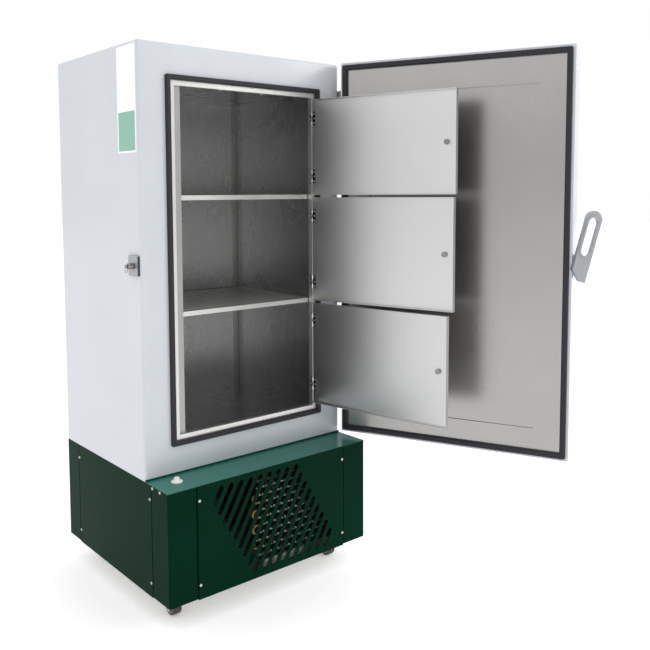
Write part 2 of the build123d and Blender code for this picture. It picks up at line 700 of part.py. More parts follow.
def base_frame():
    z = (base_bottom, base_top - SHEET)
    for sx, sy in ((-1, -1), (1, -1), (-1, 1), (1, 1)):
        side = POST_SIDE if sy < 0 else POST_SIDE_REAR
        x = sorted((sx * right, sx * (right - POST_FRONT)))
        y = sorted((sy * back, sy * (back - side)))
        post = slab(x, y, z)
        post = fillet(post.edges().filter_by(Axis.Z).sort_by_distance((sx * right, sy * back, z[0]))[0], EDGE_RADIUS)
        x_in = sorted((sx * (right - SHEET), sx * (right - POST_FRONT - 1)))
        y_in = sorted((sy * (back - SHEET), sy * (back - side - 1)))
        keep("corner_posts", post - slab(x_in, y_in, (z[0] - 1, z[1] + 1)))

    inside = SHEET + RIM
    pan_x = (left + inside, right - inside)
    pan_y = (base_front + inside, back - inside)
    pan = slab(pan_x, pan_y, (base_bottom, base_bottom + PAN_FLANGE))
    pan -= slab(
        (pan_x[0] + PAN_SHEET, pan_x[1] - PAN_SHEET),
        (pan_y[0] + PAN_SHEET, pan_y[1] - PAN_SHEET),
        (base_bottom + PAN_SHEET, base_bottom + PAN_FLANGE + 1),
    )
    keep("base_pan", pan)

    top = base_top
    low = top - FRAME_LEG
    frame_y = (face, pan_y[1])
    ring = slab(pan_x, frame_y, (low, top))
    ring -= slab(
        (pan_x[0] + FRAME_SHEET, pan_x[1] - FRAME_SHEET),
        (frame_y[0] + FRAME_SHEET, frame_y[1] - FRAME_SHEET),
        (low - 1, top - FRAME_SHEET),
    )
    ring -= slab(
        (pan_x[0] + FRAME_LEG, pan_x[1] - FRAME_LEG),
        (frame_y[0] + FRAME_LEG, frame_y[1] - FRAME_LEG),
        (low, top + 1),
    )
    keep("upper_frame", ring)

    cover = slab((left, right), (base_front, face), (base_top - SHEET, base_top))
    cover += slab((left, right), (face - SHEET, face), (base_top - SHEET, base_top + UPSTAND))
    for edge, inward in ((left + inside, 1), (right - inside, -1)):
        flange = sorted((edge, edge + inward * SHEET))
        cover += slab(flange, (base_front + POST_SIDE / 4, base_front + POST_SIDE), (base_top - COVER_FLANGE, base_top))
    keep("ledge_cover", fillet(cover.edges().filter_by(Axis.X).sort_by(Axis.Y)[:2].sort_by(Axis.Z)[-1], SHEET / 2))
    cone_at = (left + CONE_INSET, face - CONE_FORWARD, base_top)
    profile = Polyline(
        (0, 0), (CONE_RADIUS, 0), (CONE_RADIUS, CONE_BRIM), (CONE_NECK_RADIUS, CONE_BRIM),
        (CONE_TOP_RADIUS, CONE_HEIGHT), (0, CONE_HEIGHT), close=True,
    )
    cone = Pos(*cone_at) * revolve(Plane.XZ * make_face(profile), Axis.Z)
    keep("door_rest", fillet(cone.edges().group_by(Axis.Z)[-1], CONE_HEIGHT / 5))


def folded_panel(width, height, flange):
    """A sheet panel on the XY plane, face up, with its four edges folded down."""
    blank = extrude(Rectangle(width, height), -flange)
    return blank - extrude(Plane.XY.offset(-SHEET) * Rectangle(width - 2 * SHEET, height - 2 * SHEET), -flange)


def base_panels():
    # Room in the panels' folded edges for the base pan and the upper frame.
    wide = (left + SHEET, right - SHEET)
    rooms = (
        slab(wide, (base_front + SHEET, back - SHEET), (base_bottom - RIM, base_bottom + PAN_FLANGE + RIM)),
        slab(wide, (face - RIM, back - SHEET), (base_top - FRAME_LEG - RIM, base_top + RIM)),
    )

    def clear(panel):
        for room in rooms:
            panel -= room
        return panel

    z_low = base_bottom - PANEL_DROP
    z_high = base_top - SHEET - PANEL_TOP_GAP
    height = z_high - z_low
    z_mid = (z_high + z_low) / 2
    front_width = CABINET_WIDTH - 2 * (POST_FRONT + SEAM)
    front_at = Plane(origin=(0, base_front - FRONT_PROUD, z_mid), x_dir=(1, 0, 0), z_dir=(0, -1, 0))
    panel = folded_panel(front_width, height, PANEL_FLANGE)
    across = math.radians(SLOT_SLANT - 90)
    half = (SLOT_COUNT - 1) // 2
    slots = Sketch()
    for i in range(-half, half + 1):
        length = SLOT_LONGEST - (SLOT_LONGEST - SLOT_SHORTEST) * abs(i) / half
        place = Pos(i * SLOT_PITCH * math.cos(across), SLOT_RISE + i * SLOT_PITCH * math.sin(across))
        slots += place * SlotOverall(length, SLOT_WIDTH, rotation=SLOT_SLANT)
    panel -= extrude(Plane.XY.offset(SHEET) * slots, -3 * SHEET)
    keep("front_grille", clear(front_at * panel))

    side_front = base_front + POST_SIDE + SEAM
    side_back = back - POST_SIDE_REAR - SEAM
    depth = side_back - side_front
    y_mid = (side_front + side_back) / 2
    for name, x, outward in (("left_panel", left, -1), ("right_panel", right, 1)):
        at = Plane(origin=(x, y_mid, z_mid), x_dir=(0, outward, 0), z_dir=(outward, 0, 0))
        keep(name, clear(at * folded_panel(depth, height, PANEL_FLANGE)))

    rear_at = Plane(origin=(0, back, z_mid), x_dir=(-1, 0, 0), z_dir=(0, 1, 0))
    rear = folded_panel(front_width, height, PANEL_FLANGE)
    louvres = Sketch()
    for i in range(LOUVRE_COLUMNS):
        for j in range(LOUVRE_ROWS):
            x = (i - (LOUVRE_COLUMNS - 1) / 2) * LOUVRE_PITCH_X
            y = (j - (LOUVRE_ROWS - 1) / 2) * LOUVRE_PITCH_Z
            louvres += Pos(x, y) * SlotOverall(LOUVRE_LENGTH, LOUVRE_WIDTH)
    rear -= extrude(Plane.XY.offset(SHEET) * louvres, -3 * SHEET)
    inlet_x = front_width / 2 - INLET_FROM_SIDE / 2
    inlet_y = base_bottom + INLET_LIFT - z_mid
    inlet_hole = Pos(inlet_x, inlet_y) * Rectangle(INLET_WIDTH, INLET_HEIGHT)
    rear -= extrude(Plane.XY.offset(SHEET) * inlet_hole, -3 * SHEET)
    keep("rear_panel", clear(rear_at * rear))
    inlet = extrude(rear_at * inlet_hole, -INLET_DEPTH)
    socket = Pos(inlet_x, inlet_y) * Rectangle(INLET_WIDTH - 2 * INLET_RIM, INLET_HEIGHT - 2 * INLET_RIM)
    keep("supply_inlet", inlet - extrude(rear_at * socket, -INLET_DEPTH + INLET_FLOOR))

    zs = (base_bottom + SCREW_LOW, base_top - SCREW_HIGH)
    front_x = front_width / 2 - SCREW_INSET
    face_y = base_front - FRONT_PROUD
    screws = [((x, face_y, z), (0, -1, 0)) for x in (-front_x, front_x) for z in zs]
    screws += [((x, back, z), (0, 1, 0)) for x in (-front_x, front_x) for z in zs]
    for x, outward in ((left, -1), (right, 1)):
        ys = (side_front + SCREW_INSET, side_back - SCREW_INSET)
        screws += [((x, y, z), (outward, 0, 0)) for y in ys for z in zs]
        cover_ys = (face - LEDGE_DEPTH / 3, face - LEDGE_DEPTH * 2 / 3)
        screws += [((x, y, base_top - SHEET - COVER_SCREW_DROP), (outward, 0, 0)) for y in cover_ys]
    for place, outward in screws:
        end = Vector(*place) + Vector(*outward) * SCREW_RISE
        head = rod(SCREW_RADIUS, place, end)
        crown = head.faces().sort_by_distance(end)[0]
        keep("panel_screws", chamfer(crown.edges(), SCREW_RISE * 0.4))


def cooling_unit():
    floor = base_bottom + PAN_SHEET
    x1 = right - CONDENSER_SIDE_GAP
    x0 = x1 - CONDENSER_WIDTH
    y0 = base_front + CONDENSER_SETBACK
    y1 = y0 + CONDENSER_DEPTH
    z0 = floor + CONDENSER_LIFT
    height = TUBE_ROWS * TUBE_PITCH
    tube_y = (y0 + y1) / 2
    rows = [z0 + (i + 0.5) * TUBE_PITCH for i in range(TUBE_ROWS)]
    notch = TUBE_RADIUS + TUBE_CLEARANCE
    fin = Pos((y0 + y1) / 2, z0 + height / 2) * Rectangle(CONDENSER_DEPTH, height)
    for z in rows:
        fin -= Pos((y0 + tube_y + notch) / 2, z) * Rectangle(tube_y + notch - y0, 2 * notch)
    fin_plane = Plane(origin=(0, 0, 0), x_dir=(0, 1, 0), z_dir=(1, 0, 0))
    pitch = (CONDENSER_WIDTH - FIN_SHEET) / (FIN_COUNT - 1)
    for i in range(FIN_COUNT):
        keep("condenser_fins", Pos(x0 + i * pitch, 0, 0) * extrude(fin_plane * fin, FIN_SHEET))
    tray = slab((x0, x1), (y0, y1), (floor, z0))
    keep("fan_shroud", tray - slab((x0 + SHEET, x1 - SHEET), (y0 - 1, y1 - SHEET), (floor - 1, z0 - SHEET)))

    ends = (x0 - TUBE_OVERHANG, x1 + TUBE_OVERHANG)
    bend = TUBE_PITCH / 2
    path = []
    for i, z in enumerate(rows):
        a, b = ends if i % 2 == 0 else ends[::-1]
        path.append(Line((a, tube_y, z), (b, tube_y, z)))
        if i < TUBE_ROWS - 1:
            out = bend if b == ends[1] else -bend
            path.append(ThreePointArc((b, tube_y, z), (b + out, tube_y, z + bend), (b, tube_y, rows[i + 1])))
    start = Plane(origin=(ends[0], tube_y, rows[0]), z_dir=(1, 0, 0))
    keep("condenser_tube", sweep(start * Circle(TUBE_RADIUS), path=Wire(path)))

    shroud_y = y1 + SHROUD_GAP
    fan_x = (x0 + x1) / 2
    fan_z = z0 + height / 2
    opening = FAN_RADIUS + FAN_TIP_GAP
    shroud_plane = Plane(origin=(0, shroud_y, 0), x_dir=(1, 0, 0), z_dir=(0, -1, 0))
    sheet = Pos(fan_x, (floor + z0 + height) / 2) * Rectangle(CONDENSER_WIDTH, z0 + height - floor)
    shroud = extrude(shroud_plane * (sheet - Pos(fan_x, fan_z) * Circle(opening)), -SHROUD_SHEET)
    collar = Pos(fan_x, fan_z) * (Circle(opening + SHROUD_SHEET) - Circle(opening))
    shroud += extrude(shroud_plane * collar, -SHROUD_RIM)
    for x in (x0, x1 - SHEET):
        shroud += slab((x, x + SHEET), (y1, shroud_y), (floor, z0 + height))
    keep("fan_shroud", shroud)

    hub_y = shroud_y + SHROUD_SHEET
    centre = Vector(fan_x, hub_y, fan_z)
    hub = rod(FAN_HUB, centre, centre + Vector(0, FAN_HUB_DEPTH, 0))
    blade_length = FAN_RADIUS - FAN_HUB
    blade = Pos(0, 0, FAN_HUB + blade_length / 2 - 1) * Box(FAN_BLADE_WIDTH, FAN_BLADE_SHEET, blade_length)
    blade = fillet(blade.edges().filter_by(Axis.Y).group_by(Axis.Z)[-1], FAN_BLADE_WIDTH / 4)
    blade = Rot(0, 0, FAN_BLADE_PITCH) * blade
    fan = hub
    for i in range(FAN_BLADES):
        fan += Pos(*(centre + Vector(0, FAN_HUB_DEPTH / 2, 0))) * Rot(0, i * 360 / FAN_BLADES, 0) * blade
    shaft_bore = FAN_SHAFT + RUNNING_CLEARANCE
    fan -= rod(shaft_bore, centre - Vector(0, 1, 0), centre + Vector(0, FAN_HUB_DEPTH + 1, 0))
    keep("fan_blade", fan)

    motor_y = hub_y + FAN_HUB_DEPTH + FAN_GAP
    front = Vector(fan_x, motor_y, fan_z)
    motor = rod(MOTOR_RADIUS, front, front + Vector(0, MOTOR_DEPTH, 0))
    motor = fillet(motor.faces().sort_by(Axis.Y)[-1].edges(), MOTOR_RADIUS / 5)
    motor += rod(FAN_SHAFT, front, centre + Vector(0, RIM, 0))
    reach = opening + SHROUD_SHEET + SHROUD_SHEET
    arm_y = (motor_y, motor_y + SHROUD_SHEET)
    half = MOTOR_ARM / 2
    motor += slab((fan_x - reach, fan_x + reach), arm_y, (fan_z - half, fan_z + half))
    for side in (-1, 1):
        foot = sorted((fan_x + side * (opening + SHROUD_SHEET), fan_x + side * reach))
        motor += slab(foot, (shroud_y + SHROUD_SHEET, arm_y[1]), (fan_z - half, fan_z + half))
    keep("fan_motor", motor)

    box_x = (left + SHEET + BOX_SIDE_GAP, left + SHEET + BOX_SIDE_GAP + BOX_WIDTH)
    near_box = box_x[1] + COMPRESSOR_BOX_GAP + FOOT_LENGTH / 2
    near_side = right - SHEET - COMPRESSOR_SIDE_GAP - FOOT_LENGTH / 2
    y = back - COMPRESSOR_SETBACK
    for x in (near_box, near_side):
        foot_z = floor + GROMMET_HEIGHT
        outline = make_face(Polyline(
            (0, 0), (COMPRESSOR_RADIUS, 0), (COMPRESSOR_RADIUS, COMPRESSOR_HEIGHT - COMPRESSOR_DOME), (0, COMPRESSOR_HEIGHT),
            close=True,
        ))
        pot = revolve(Plane.XZ * outline, Axis.Z)
        shoulder = pot.edges().filter_by(GeomType.CIRCLE).group_by(Axis.Z)[-1]
        pot = Pos(x, y, foot_z + FOOT_SHEET) * fillet(shoulder, COMPRESSOR_DOME / 2)
        foot = extrude(RectangleRounded(FOOT_LENGTH, FOOT_WIDTH, GROMMET_RADIUS), FOOT_SHEET)
        keep("compressors", pot + Pos(x, y, foot_z) * foot)
        for gx in (-1, 1):
            for gy in (-1, 1):
                at = (x + gx * (FOOT_LENGTH / 2 - GROMMET_INSET), y + gy * (FOOT_WIDTH / 2 - GROMMET_INSET))
                keep("compressor_grommets", rod(GROMMET_RADIUS, (*at, floor), (*at, foot_z)))

    box = slab(
        box_x,
        (back - BOX_BACK_SETBACK - BOX_DEPTH, back - BOX_BACK_SETBACK),
        (floor, floor + BOX_HEIGHT),
    )
    keep("electrical_box", fillet(box.edges().filter_by(Axis.Z), EDGE_RADIUS))

    drier_x = x1 + TUBE_OVERHANG + TUBE_PITCH
    drier_y = y1 + SHROUD_GAP + DRIER_RADIUS
    neck = rod(DRIER_NECK, (drier_x, drier_y, floor), (drier_x, drier_y, base_top - FRAME_LEG))
    can = rod(DRIER_RADIUS, (drier_x, drier_y, fan_z), (drier_x, drier_y, fan_z + DRIER_LENGTH))
    keep("filter_drier", neck + fillet(can.edges().filter_by(GeomType.CIRCLE), DRIER_RADIUS / 3))


def casters():
    """Four alike, made round a swivel axis at x = y = 0 with the wheel trailing behind it."""
    plate_low = base_bottom - CASTER_PLATE
    cup_low = plate_low - CASTER_CUP
    crown_top = cup_low - FORK_TOP_GAP
    crown_low = crown_top - FORK_CROWN
    plate = slab(
        (-CASTER_PLATE_X / 2, CASTER_PLATE_X / 2), (-CASTER_PLATE_Y / 2, CASTER_PLATE_Y / 2), (plate_low, base_bottom)
    )
    plate = fillet(plate.edges().filter_by(Axis.Z), EDGE_RADIUS)
    plate += rod(CASTER_CUP_RADIUS, (0, 0, cup_low), (0, 0, plate_low))
    plate -= rod(STEM + RUNNING_CLEARANCE, (0, 0, cup_low - 1), (0, 0, base_bottom + 1))

    inner = WHEEL_WIDTH / 2 + FORK_GAP
    outer = inner + FORK_SHEET
    leg_y = (CASTER_TRAIL - FORK_LEG_WIDTH / 2, CASTER_TRAIL + FORK_LEG_WIDTH / 2)
    fork = rod(CASTER_CUP_RADIUS, (0, 0, crown_low), (0, 0, crown_top))
    fork += slab((-outer, outer), (0, CASTER_TRAIL), (crown_low, crown_top))
    fork += rod(STEM, (0, 0, crown_top), (0, 0, base_bottom - RIM))
    for side in (-1, 1):
        span = sorted((side * inner, side * outer))
        fork += slab(span, leg_y, (WHEEL_RADIUS, crown_top))
        fork += rod(FORK_LEG_WIDTH / 2, *[(x, CASTER_TRAIL, WHEEL_RADIUS) for x in span])
    ends = [(x, CASTER_TRAIL, WHEEL_RADIUS) for x in (-outer - 1, outer + 1)]
    fork -= rod(AXLE + RUNNING_CLEARANCE, *ends)
    axle = rod(AXLE, *ends)

    rim_radius = WHEEL_RADIUS - TYRE
    middle = (0, CASTER_TRAIL, WHEEL_RADIUS)
    turning = Axis(middle, (1, 0, 0))
    section = Plane(origin=middle, x_dir=(0, 0, 1), z_dir=(0, 1, 0))
    band = Pos((rim_radius + WHEEL_RADIUS) / 2, 0) * Rectangle(TYRE, WHEEL_WIDTH)
    band = fillet(band.vertices().group_by(Axis.X)[-1], TYRE_ROUND)
    bore = AXLE + RUNNING_CLEARANCE
    web = Pos((bore + rim_radius) / 2, 0) * Rectangle(rim_radius - bore, HUB_WEB)
    boss = Pos((bore + HUB_BOSS) / 2, 0) * Rectangle(HUB_BOSS - bore, WHEEL_WIDTH + FORK_GAP)
    lip = Pos(rim_radius - FORK_SHEET / 2, 0) * Rectangle(FORK_SHEET, WHEEL_WIDTH - FORK_GAP)
    tyre = revolve(section * band, turning)
    hub = revolve(section * (web + boss + lip), turning)

    places = {
        "front_left": Pos(left + CASTER_INSET_FRONT, base_front + CASTER_INSET_Y),
        "front_right": Pos(right - CASTER_INSET_FRONT, base_front + CASTER_INSET_Y),
        "rear_left": Pos(left + CASTER_INSET_REAR, back - CASTER_INSET_Y),
        "rear_right": Pos(right - CASTER_INSET_REAR, back - CASTER_INSET_Y),
    }
    for name, place in places.items():
        keep("caster_plates", place * plate)
        keep(f"caster_fork_{name}", place * fork, place * axle)
        keep(f"caster_wheel_{name}", place * tyre, place * hub)


cabinet()
shelves()
inner_doors()
main_door()
lock()
base_frame()
base_panels()
cooling_unit()
casters()

os.makedirs("parts", exist_ok=True)
for name, solids in nodes.items():
    whole = solids[0] if len(solids) == 1 else Compound(children=solids)
    export_step(whole, f"parts/{name}.step")
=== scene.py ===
import json
import math

import bmesh
import bpy
from bpy.props import FloatProperty, FloatVectorProperty, PointerProperty
from mathutils import Matrix, Vector


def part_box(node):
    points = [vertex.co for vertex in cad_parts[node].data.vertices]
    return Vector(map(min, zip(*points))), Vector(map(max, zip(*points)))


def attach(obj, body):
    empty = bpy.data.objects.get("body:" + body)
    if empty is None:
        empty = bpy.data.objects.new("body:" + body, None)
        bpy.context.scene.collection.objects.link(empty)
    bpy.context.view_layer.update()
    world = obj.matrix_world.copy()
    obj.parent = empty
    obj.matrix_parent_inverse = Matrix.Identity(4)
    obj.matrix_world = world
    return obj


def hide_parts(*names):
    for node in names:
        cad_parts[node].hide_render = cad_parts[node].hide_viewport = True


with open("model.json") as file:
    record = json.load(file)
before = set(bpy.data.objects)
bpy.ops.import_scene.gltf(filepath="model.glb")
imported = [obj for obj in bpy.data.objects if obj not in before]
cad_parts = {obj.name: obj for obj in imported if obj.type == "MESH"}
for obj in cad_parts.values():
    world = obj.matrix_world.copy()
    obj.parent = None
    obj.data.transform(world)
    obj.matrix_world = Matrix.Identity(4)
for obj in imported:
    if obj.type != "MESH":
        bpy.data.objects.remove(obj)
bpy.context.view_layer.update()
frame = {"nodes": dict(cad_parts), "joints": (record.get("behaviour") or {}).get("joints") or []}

bl_info = {
    "name": "Upright Freezer Finishes",
    "version": (1, 0, 0),
    "blender": (4, 5, 0),
    "location": "View3D > Sidebar > Freezer",
    "description": "Finishes, small fittings and studio for an upright laboratory freezer",
    "category": "Object",
}

SHELL_LOW, SHELL_HIGH = (Vector(corner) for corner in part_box("outer_shell"))
LINER_LOW, LINER_HIGH = (Vector(corner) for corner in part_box("inner_liner"))
JOINTS = {joint["name"]: joint for joint in frame["joints"]}
LEVELS = ("lower", "middle", "upper")
CORNERS = ("front_left", "front_right", "rear_left", "rear_right")

UP = Vector((0, 0, 1))
DOWN = Vector((0, 0, -1))
LEFT = Vector((-1, 0, 0))
FRONT = Vector((0, -1, 0))
BACK = Vector((0, 1, 0))

KEY_COUNT = 5
CEILING_SHARES = (0.45, 0.75)

# A wheel's hub ends at this share of its radius
HUB_SHARE = 0.74

# Cosines past which a face points along a direction, and under which it stands upright
SQUARE_ON = 0.9
UPRIGHT = 0.1

# Screw heads: sides of the circle, rounding of the rim and start of the crown as shares of the height
HEAD_SEGMENTS = 20
SMALL_HEAD_SEGMENTS = 12
CROSS_HEAD_SEGMENTS = 24
RIM_SEGMENTS = 3
DOME_ROUNDING = 0.6
PAN_ROUNDING = 0.4
CROWN_SHARE = 0.9
PLATE_CORNER_SEGMENTS = 4
MERGE_DISTANCE = 1e-6

# Noise is read between these values, and varies a finish's roughness by these factors
MASK_RANGE = (0.3, 0.7)
COATED_ROUGHNESS = (0.9, 1.12)
ROLLED_ROUGHNESS = (0.94, 1.08)
COAT_ROUGHNESS = 0.12
PEEL_DEPTH = 0.0004

# Rolling lines: scale along and across them, depth, and how lines and clouds share the roughness
LINE_ALONG = 12.0
LINE_ACROSS = 900.0
LINE_DEPTH = 0.0002
LINE_SHARE = 0.2
CLOUD_RANGE = (0.2, 0.6)

IMAGE_SIDE = 650
SENSOR_WIDTH = 36.0


def colour(name, description, default):
    """A colour setting."""
    return FloatVectorProperty(
        name=name, description=description, subtype="COLOR", size=3, min=0.0, max=1.0, default=default
    )


def length(name, description, default):
    """A length setting in metres."""
    return FloatProperty(name=name, description=description, unit="LENGTH", default=default, precision=5)


def spot(name, description, default):
    """A point setting in metres."""
    return FloatVectorProperty(
        name=name, description=description, subtype="TRANSLATION", unit="LENGTH", size=3, default=default
    )


def angle(name, description, degrees):
    """An angle setting, given in degrees."""
    return FloatProperty(name=name, description=description, subtype="ANGLE", default=math.radians(degrees))


def pixels(name, description, default):
    """A setting in pixels of the square image."""
    return FloatProperty(name=name, description=description, subtype="PIXEL", default=default)


def strength(name, description, default):
    """A plain strength setting."""
    return FloatProperty(name=name, description=description, min=0.0, default=default)


def power(name, description, default):
    """A light's power setting in watts."""
    return FloatProperty(name=name, description=description, unit="POWER", min=0.0, default=default)


class FreezerFinish(bpy.types.PropertyGroup):
    cabinet_white: colour("Cabinet white", "Powder coat of the cabinet and door", (0.545, 0.57, 0.605))
    base_green: colour("Base green", "Gloss coat of the machine base", (0.0008, 0.0195, 0.0100))
    # ledge_green is the base's own gloss green made paler as painted light, for the light and reflections
    # that the ledge's faces catch.
    ledge_green: colour("Ledge green", "Paler gloss coat of the ledge cover", (0.0075, 0.050, 0.036))
    # ledge_top is the same green paler again on the ledge's upper faces: a painted highlight for light
    # falling on the top.
    ledge_top: colour("Ledge top", "Palest gloss coat, on the ledge's upper face", (0.026, 0.165, 0.130))
    chamber_steel: colour("Chamber steel", "Sheet of the chamber's walls", (0.40, 0.405, 0.40))
    door_steel: colour("Door steel", "Sheet of the door's inner face", (0.365, 0.358, 0.35))
    tray_steel: colour("Tray steel", "Sheet of the inner doors", (0.60, 0.60, 0.60))
    strip_steel: colour("Strip steel", "Bright satin sheet of the breaker strips", (0.60, 0.595, 0.58))
    shelf_steel: colour("Shelf steel", "Bright satin sheet of the shelves", (0.60, 0.595, 0.58))
    catch_steel: colour("Catch steel", "Duller sheet of the catch strip and rails", (0.34, 0.335, 0.325))
    zinc: colour("Zinc", "Plated hinges, frames and casters", (0.60, 0.60, 0.58))
    chrome: colour("Chrome", "Bright plating of the inner doors' fixed hinge leaves", (0.78, 0.78, 0.79))
    # Chrome darkened all over as painted shade, for the dark reflections and shade on the polished lock and
    # knobs.
    dark_nickel: colour("Dark nickel", "Plating of the lock and inner doors' fittings", (0.25, 0.24, 0.23))
    lever_grey: colour("Lever grey", "Casting of the latch lever and strike", (0.32, 0.33, 0.345))
    gasket: colour("Gasket", "Extruded rubber of both gaskets", (0.018, 0.018, 0.022))
    rubber: colour("Rubber", "Compressors' grommets", (0.02, 0.02, 0.021))
    tyre: colour("Tyre", "Caster tyres", (0.055, 0.030, 0.024))
    wheel_hub: colour("Wheel hub", "Caster hubs", (0.30, 0.30, 0.30))
    # The fins are darkened as painted shade, for the shadow inside the machine base behind the grille.
    fin: colour("Fin", "Condenser fins", (0.12, 0.12, 0.12))
    copper: colour("Copper", "Condenser tube and drier", (0.45, 0.20, 0.12))
    collar: colour("Collar", "Fin collars along the condenser tube", (0.38, 0.38, 0.37))
    machine_black: colour("Machine black", "Enamel of compressors and fan motor", (0.015, 0.015, 0.016))
    foam: colour("Foam", "Insulation in the walls", (0.80, 0.70, 0.45))
    grey_moulding: colour("Grey moulding", "Controller's bezel and keys", (0.36, 0.37, 0.39))
    dark_moulding: colour("Dark moulding", "Keypad, fan blade and inlet", (0.022, 0.023, 0.025))
    display: colour("Display", "Controller's window", (0.006, 0.008, 0.009))
    nylon: colour("Nylon", "Door rest", (0.80, 0.80, 0.77))
    label_film: colour("Label film", "Bare film on the cabinet's side", (0.86, 0.87, 0.88))
    label_block: colour("Label block", "Tinted block on the film", (0.20, 0.43, 0.33))


class FreezerSizes(bpy.types.PropertyGroup):
    recess_width: length("Recess width", "Width of a screw's cross slot", 0.0012)
    recess_reach: length("Recess reach", "Half length of a screw's cross slot", 0.0026)
    recess_depth: length("Recess depth", "Depth of a screw's cross slot", 0.0011)
    leaf_sheet: length("Leaf sheet", "Thickness of an inner hinge's leaf", 0.0012)
    leaf_overlap: length("Leaf overlap", "How far an inner hinge's barrel stands over the wall", 0.002)
    leaf_depth: length("Leaf depth", "Least depth of a fixed leaf, which no hinge pin reaches", 0.01)
    leaf_height: length("Leaf height", "Least height of a moving leaf, which no knob reaches", 0.04)
    tray_sheet: length("Tray sheet", "Thickness of an inner door's sheet", 0.0012)
    leaf_screw: length("Leaf screw", "Radius of an inner hinge's screw", 0.0026)
    leaf_screw_rise: length("Leaf screw rise", "Height of an inner hinge's screw", 0.0007)
    leaf_screw_pitch: length("Leaf screw pitch", "Distance between an inner hinge's screws", 0.016)
    ceiling_screw: length("Ceiling screw", "Radius of a ceiling screw", 0.006)
    ceiling_screw_rise: length("Ceiling screw rise", "Height of a ceiling screw", 0.003)
    ceiling_screw_set: length("Ceiling screw setback", "Distance of a screw behind the liner's front", 0.10)
    liner_sheet: length("Liner sheet", "Thickness of the chamber's liner", 0.001)
    pad_radius: length("Pad radius", "Radius of a rub pad on the door's liner", 0.0045)
    pad_rise: length("Pad rise", "Height of a rub pad", 0.0004)
    pad_offset: length("Pad offset", "Distance of the rub pads from the door's middle", 0.223)
    pad_recess: length("Pad recess", "Depth of the recess that the rub pads lie in", 0.004)
    label_width: length("Label width", "Width of the side label", 0.118)
    label_height: length("Label height", "Height of the side label", 0.322)
    label_round: length("Label corner", "Corner radius of the side label", 0.003)
    label_thickness: length("Label thickness", "Thickness of the film", 0.0003)
    label_edge: length("Label edge", "Distance of the film from the cabinet's front", 0.011)
    label_drop: length("Label drop", "Distance of the film from the cabinet's top", 0.010)
    block_height: length("Block height", "Height of the tinted block", 0.118)
    block_margin: length("Block margin", "Margin round the tinted block", 0.006)
    block_round: length("Block corner", "Corner radius of the tinted block", 0.001)
    block_thickness: length("Block thickness", "Thickness of the tinted block", 0.0001)
    key_side: length("Key side", "Side of a keypad key", 0.014)
    key_pitch: length("Key pitch", "Distance between keypad keys", 0.028)
    key_round: length("Key corner", "Corner radius of a keypad key", 0.003)
    key_rise: length("Key rise", "Height of a keypad key", 0.0006)
    collar_margin: length("Collar margin", "How far the fin collars reach past the outer fins", 0.004)


class FreezerStage(bpy.types.PropertyGroup):
    camera: spot("Camera", "Camera's place", (-1.5341, -2.3569, 1.3187))
    azimuth: angle("Azimuth", "Direction of the camera round the freezer", -39.39)
    elevation: angle("Elevation", "How far the camera looks down", 4.47)
    roll: angle("Roll", "Camera's turn about its own view", -0.32)
    focal: pixels("Focal length", "Focal length in pixels of the square image", 791.5)
    centre_x: pixels("Centre X", "Pixel column that the lens is centred on", 299.7)
    centre_y: pixels("Centre Y", "Pixel row that the lens is centred on", 255.2)
    dark_side: strength("Dark side", "Strength of the surround at eye level, front right", 0.50)
    bright_side: strength("Bright side", "Strength of the surround at eye level, rear left", 1.00)
    bright_azimuth: angle("Bright azimuth", "Direction of the bright side, from the right", 150.0)
    bright_focus: strength("Bright focus", "How closely the bright side is gathered", 3.0)
    zenith: strength("Zenith", "Strength of the surround overhead", 1.40)
    key: power("Key light", "Power of the large side light", 7.0)
    key_place: spot("Key light's place", "Middle of the large side light", (-3.2, -1.2, 3.2))
    key_target: spot("Key light's target", "Point that the side light is aimed at", (0.0, 0.0, 0.9))
    key_side: length("Key light's side", "Side of the large side light", 2.6)
    front: power("Front light", "Power of the large front right light", 110.0)
    front_place: spot("Front light's place", "Middle of the large front right light", (3.8, -2.9, 2.2))
    front_target: spot("Front light's target", "Point that the front light is aimed at", (0.3, -0.5, 1.0))
    front_side: length("Front light's side", "Side of the large front right light", 2.4)
    floor: colour("Floor", "Plain pale floor", (0.90, 0.90, 0.90))
    floor_reach: length("Floor reach", "Distance of the floor's edges from its middle", 30.0)
    floor_glow: strength("Floor glow", "How much the floor is lit from below", 0.25)


def node(tree, kind, **values):
    """A shader node with its input values set by name; spaces in a name are written as underscores."""
    made = tree.nodes.new(kind)
    for name, value in values.items():
        made.inputs[name.replace("_", " ")].default_value = value
    return made


def shader_group(name, inputs, outputs):
    """An empty shader group with float inputs that have defaults and float outputs."""
    tree = bpy.data.node_groups.new(name, "ShaderNodeTree")
    for label, default in inputs.items():
        socket = tree.interface.new_socket(name=label, in_out="INPUT", socket_type="NodeSocketFloat")
        socket.default_value = default
    for label in outputs:
        tree.interface.new_socket(name=label, in_out="OUTPUT", socket_type="NodeSocketFloat")
    return tree, tree.nodes.new("NodeGroupInput"), tree.nodes.new("NodeGroupOutput")


def coat_texture():
    """Orange peel and slow mottling of sprayed powder coat."""
    scales = {"Peel Scale": 700.0, "Mottle Scale": 3.0}
    tree, given, result = shader_group("coat_texture", scales, ["Peel", "Mottle"])
    place = tree.nodes.new("ShaderNodeTexCoord")
    peel = node(tree, "ShaderNodeTexNoise", Detail=1.0, Roughness=0.4)
    mottle = node(tree, "ShaderNodeTexNoise", Detail=3.0, Roughness=0.55)
    for texture, scale, output in ((peel, "Peel Scale", "Peel"), (mottle, "Mottle Scale", "Mottle")):
        tree.links.new(place.outputs["Object"], texture.inputs["Vector"])
        tree.links.new(given.outputs[scale], texture.inputs["Scale"])
        tree.links.new(texture.outputs["Fac"], result.inputs[output])
    return tree


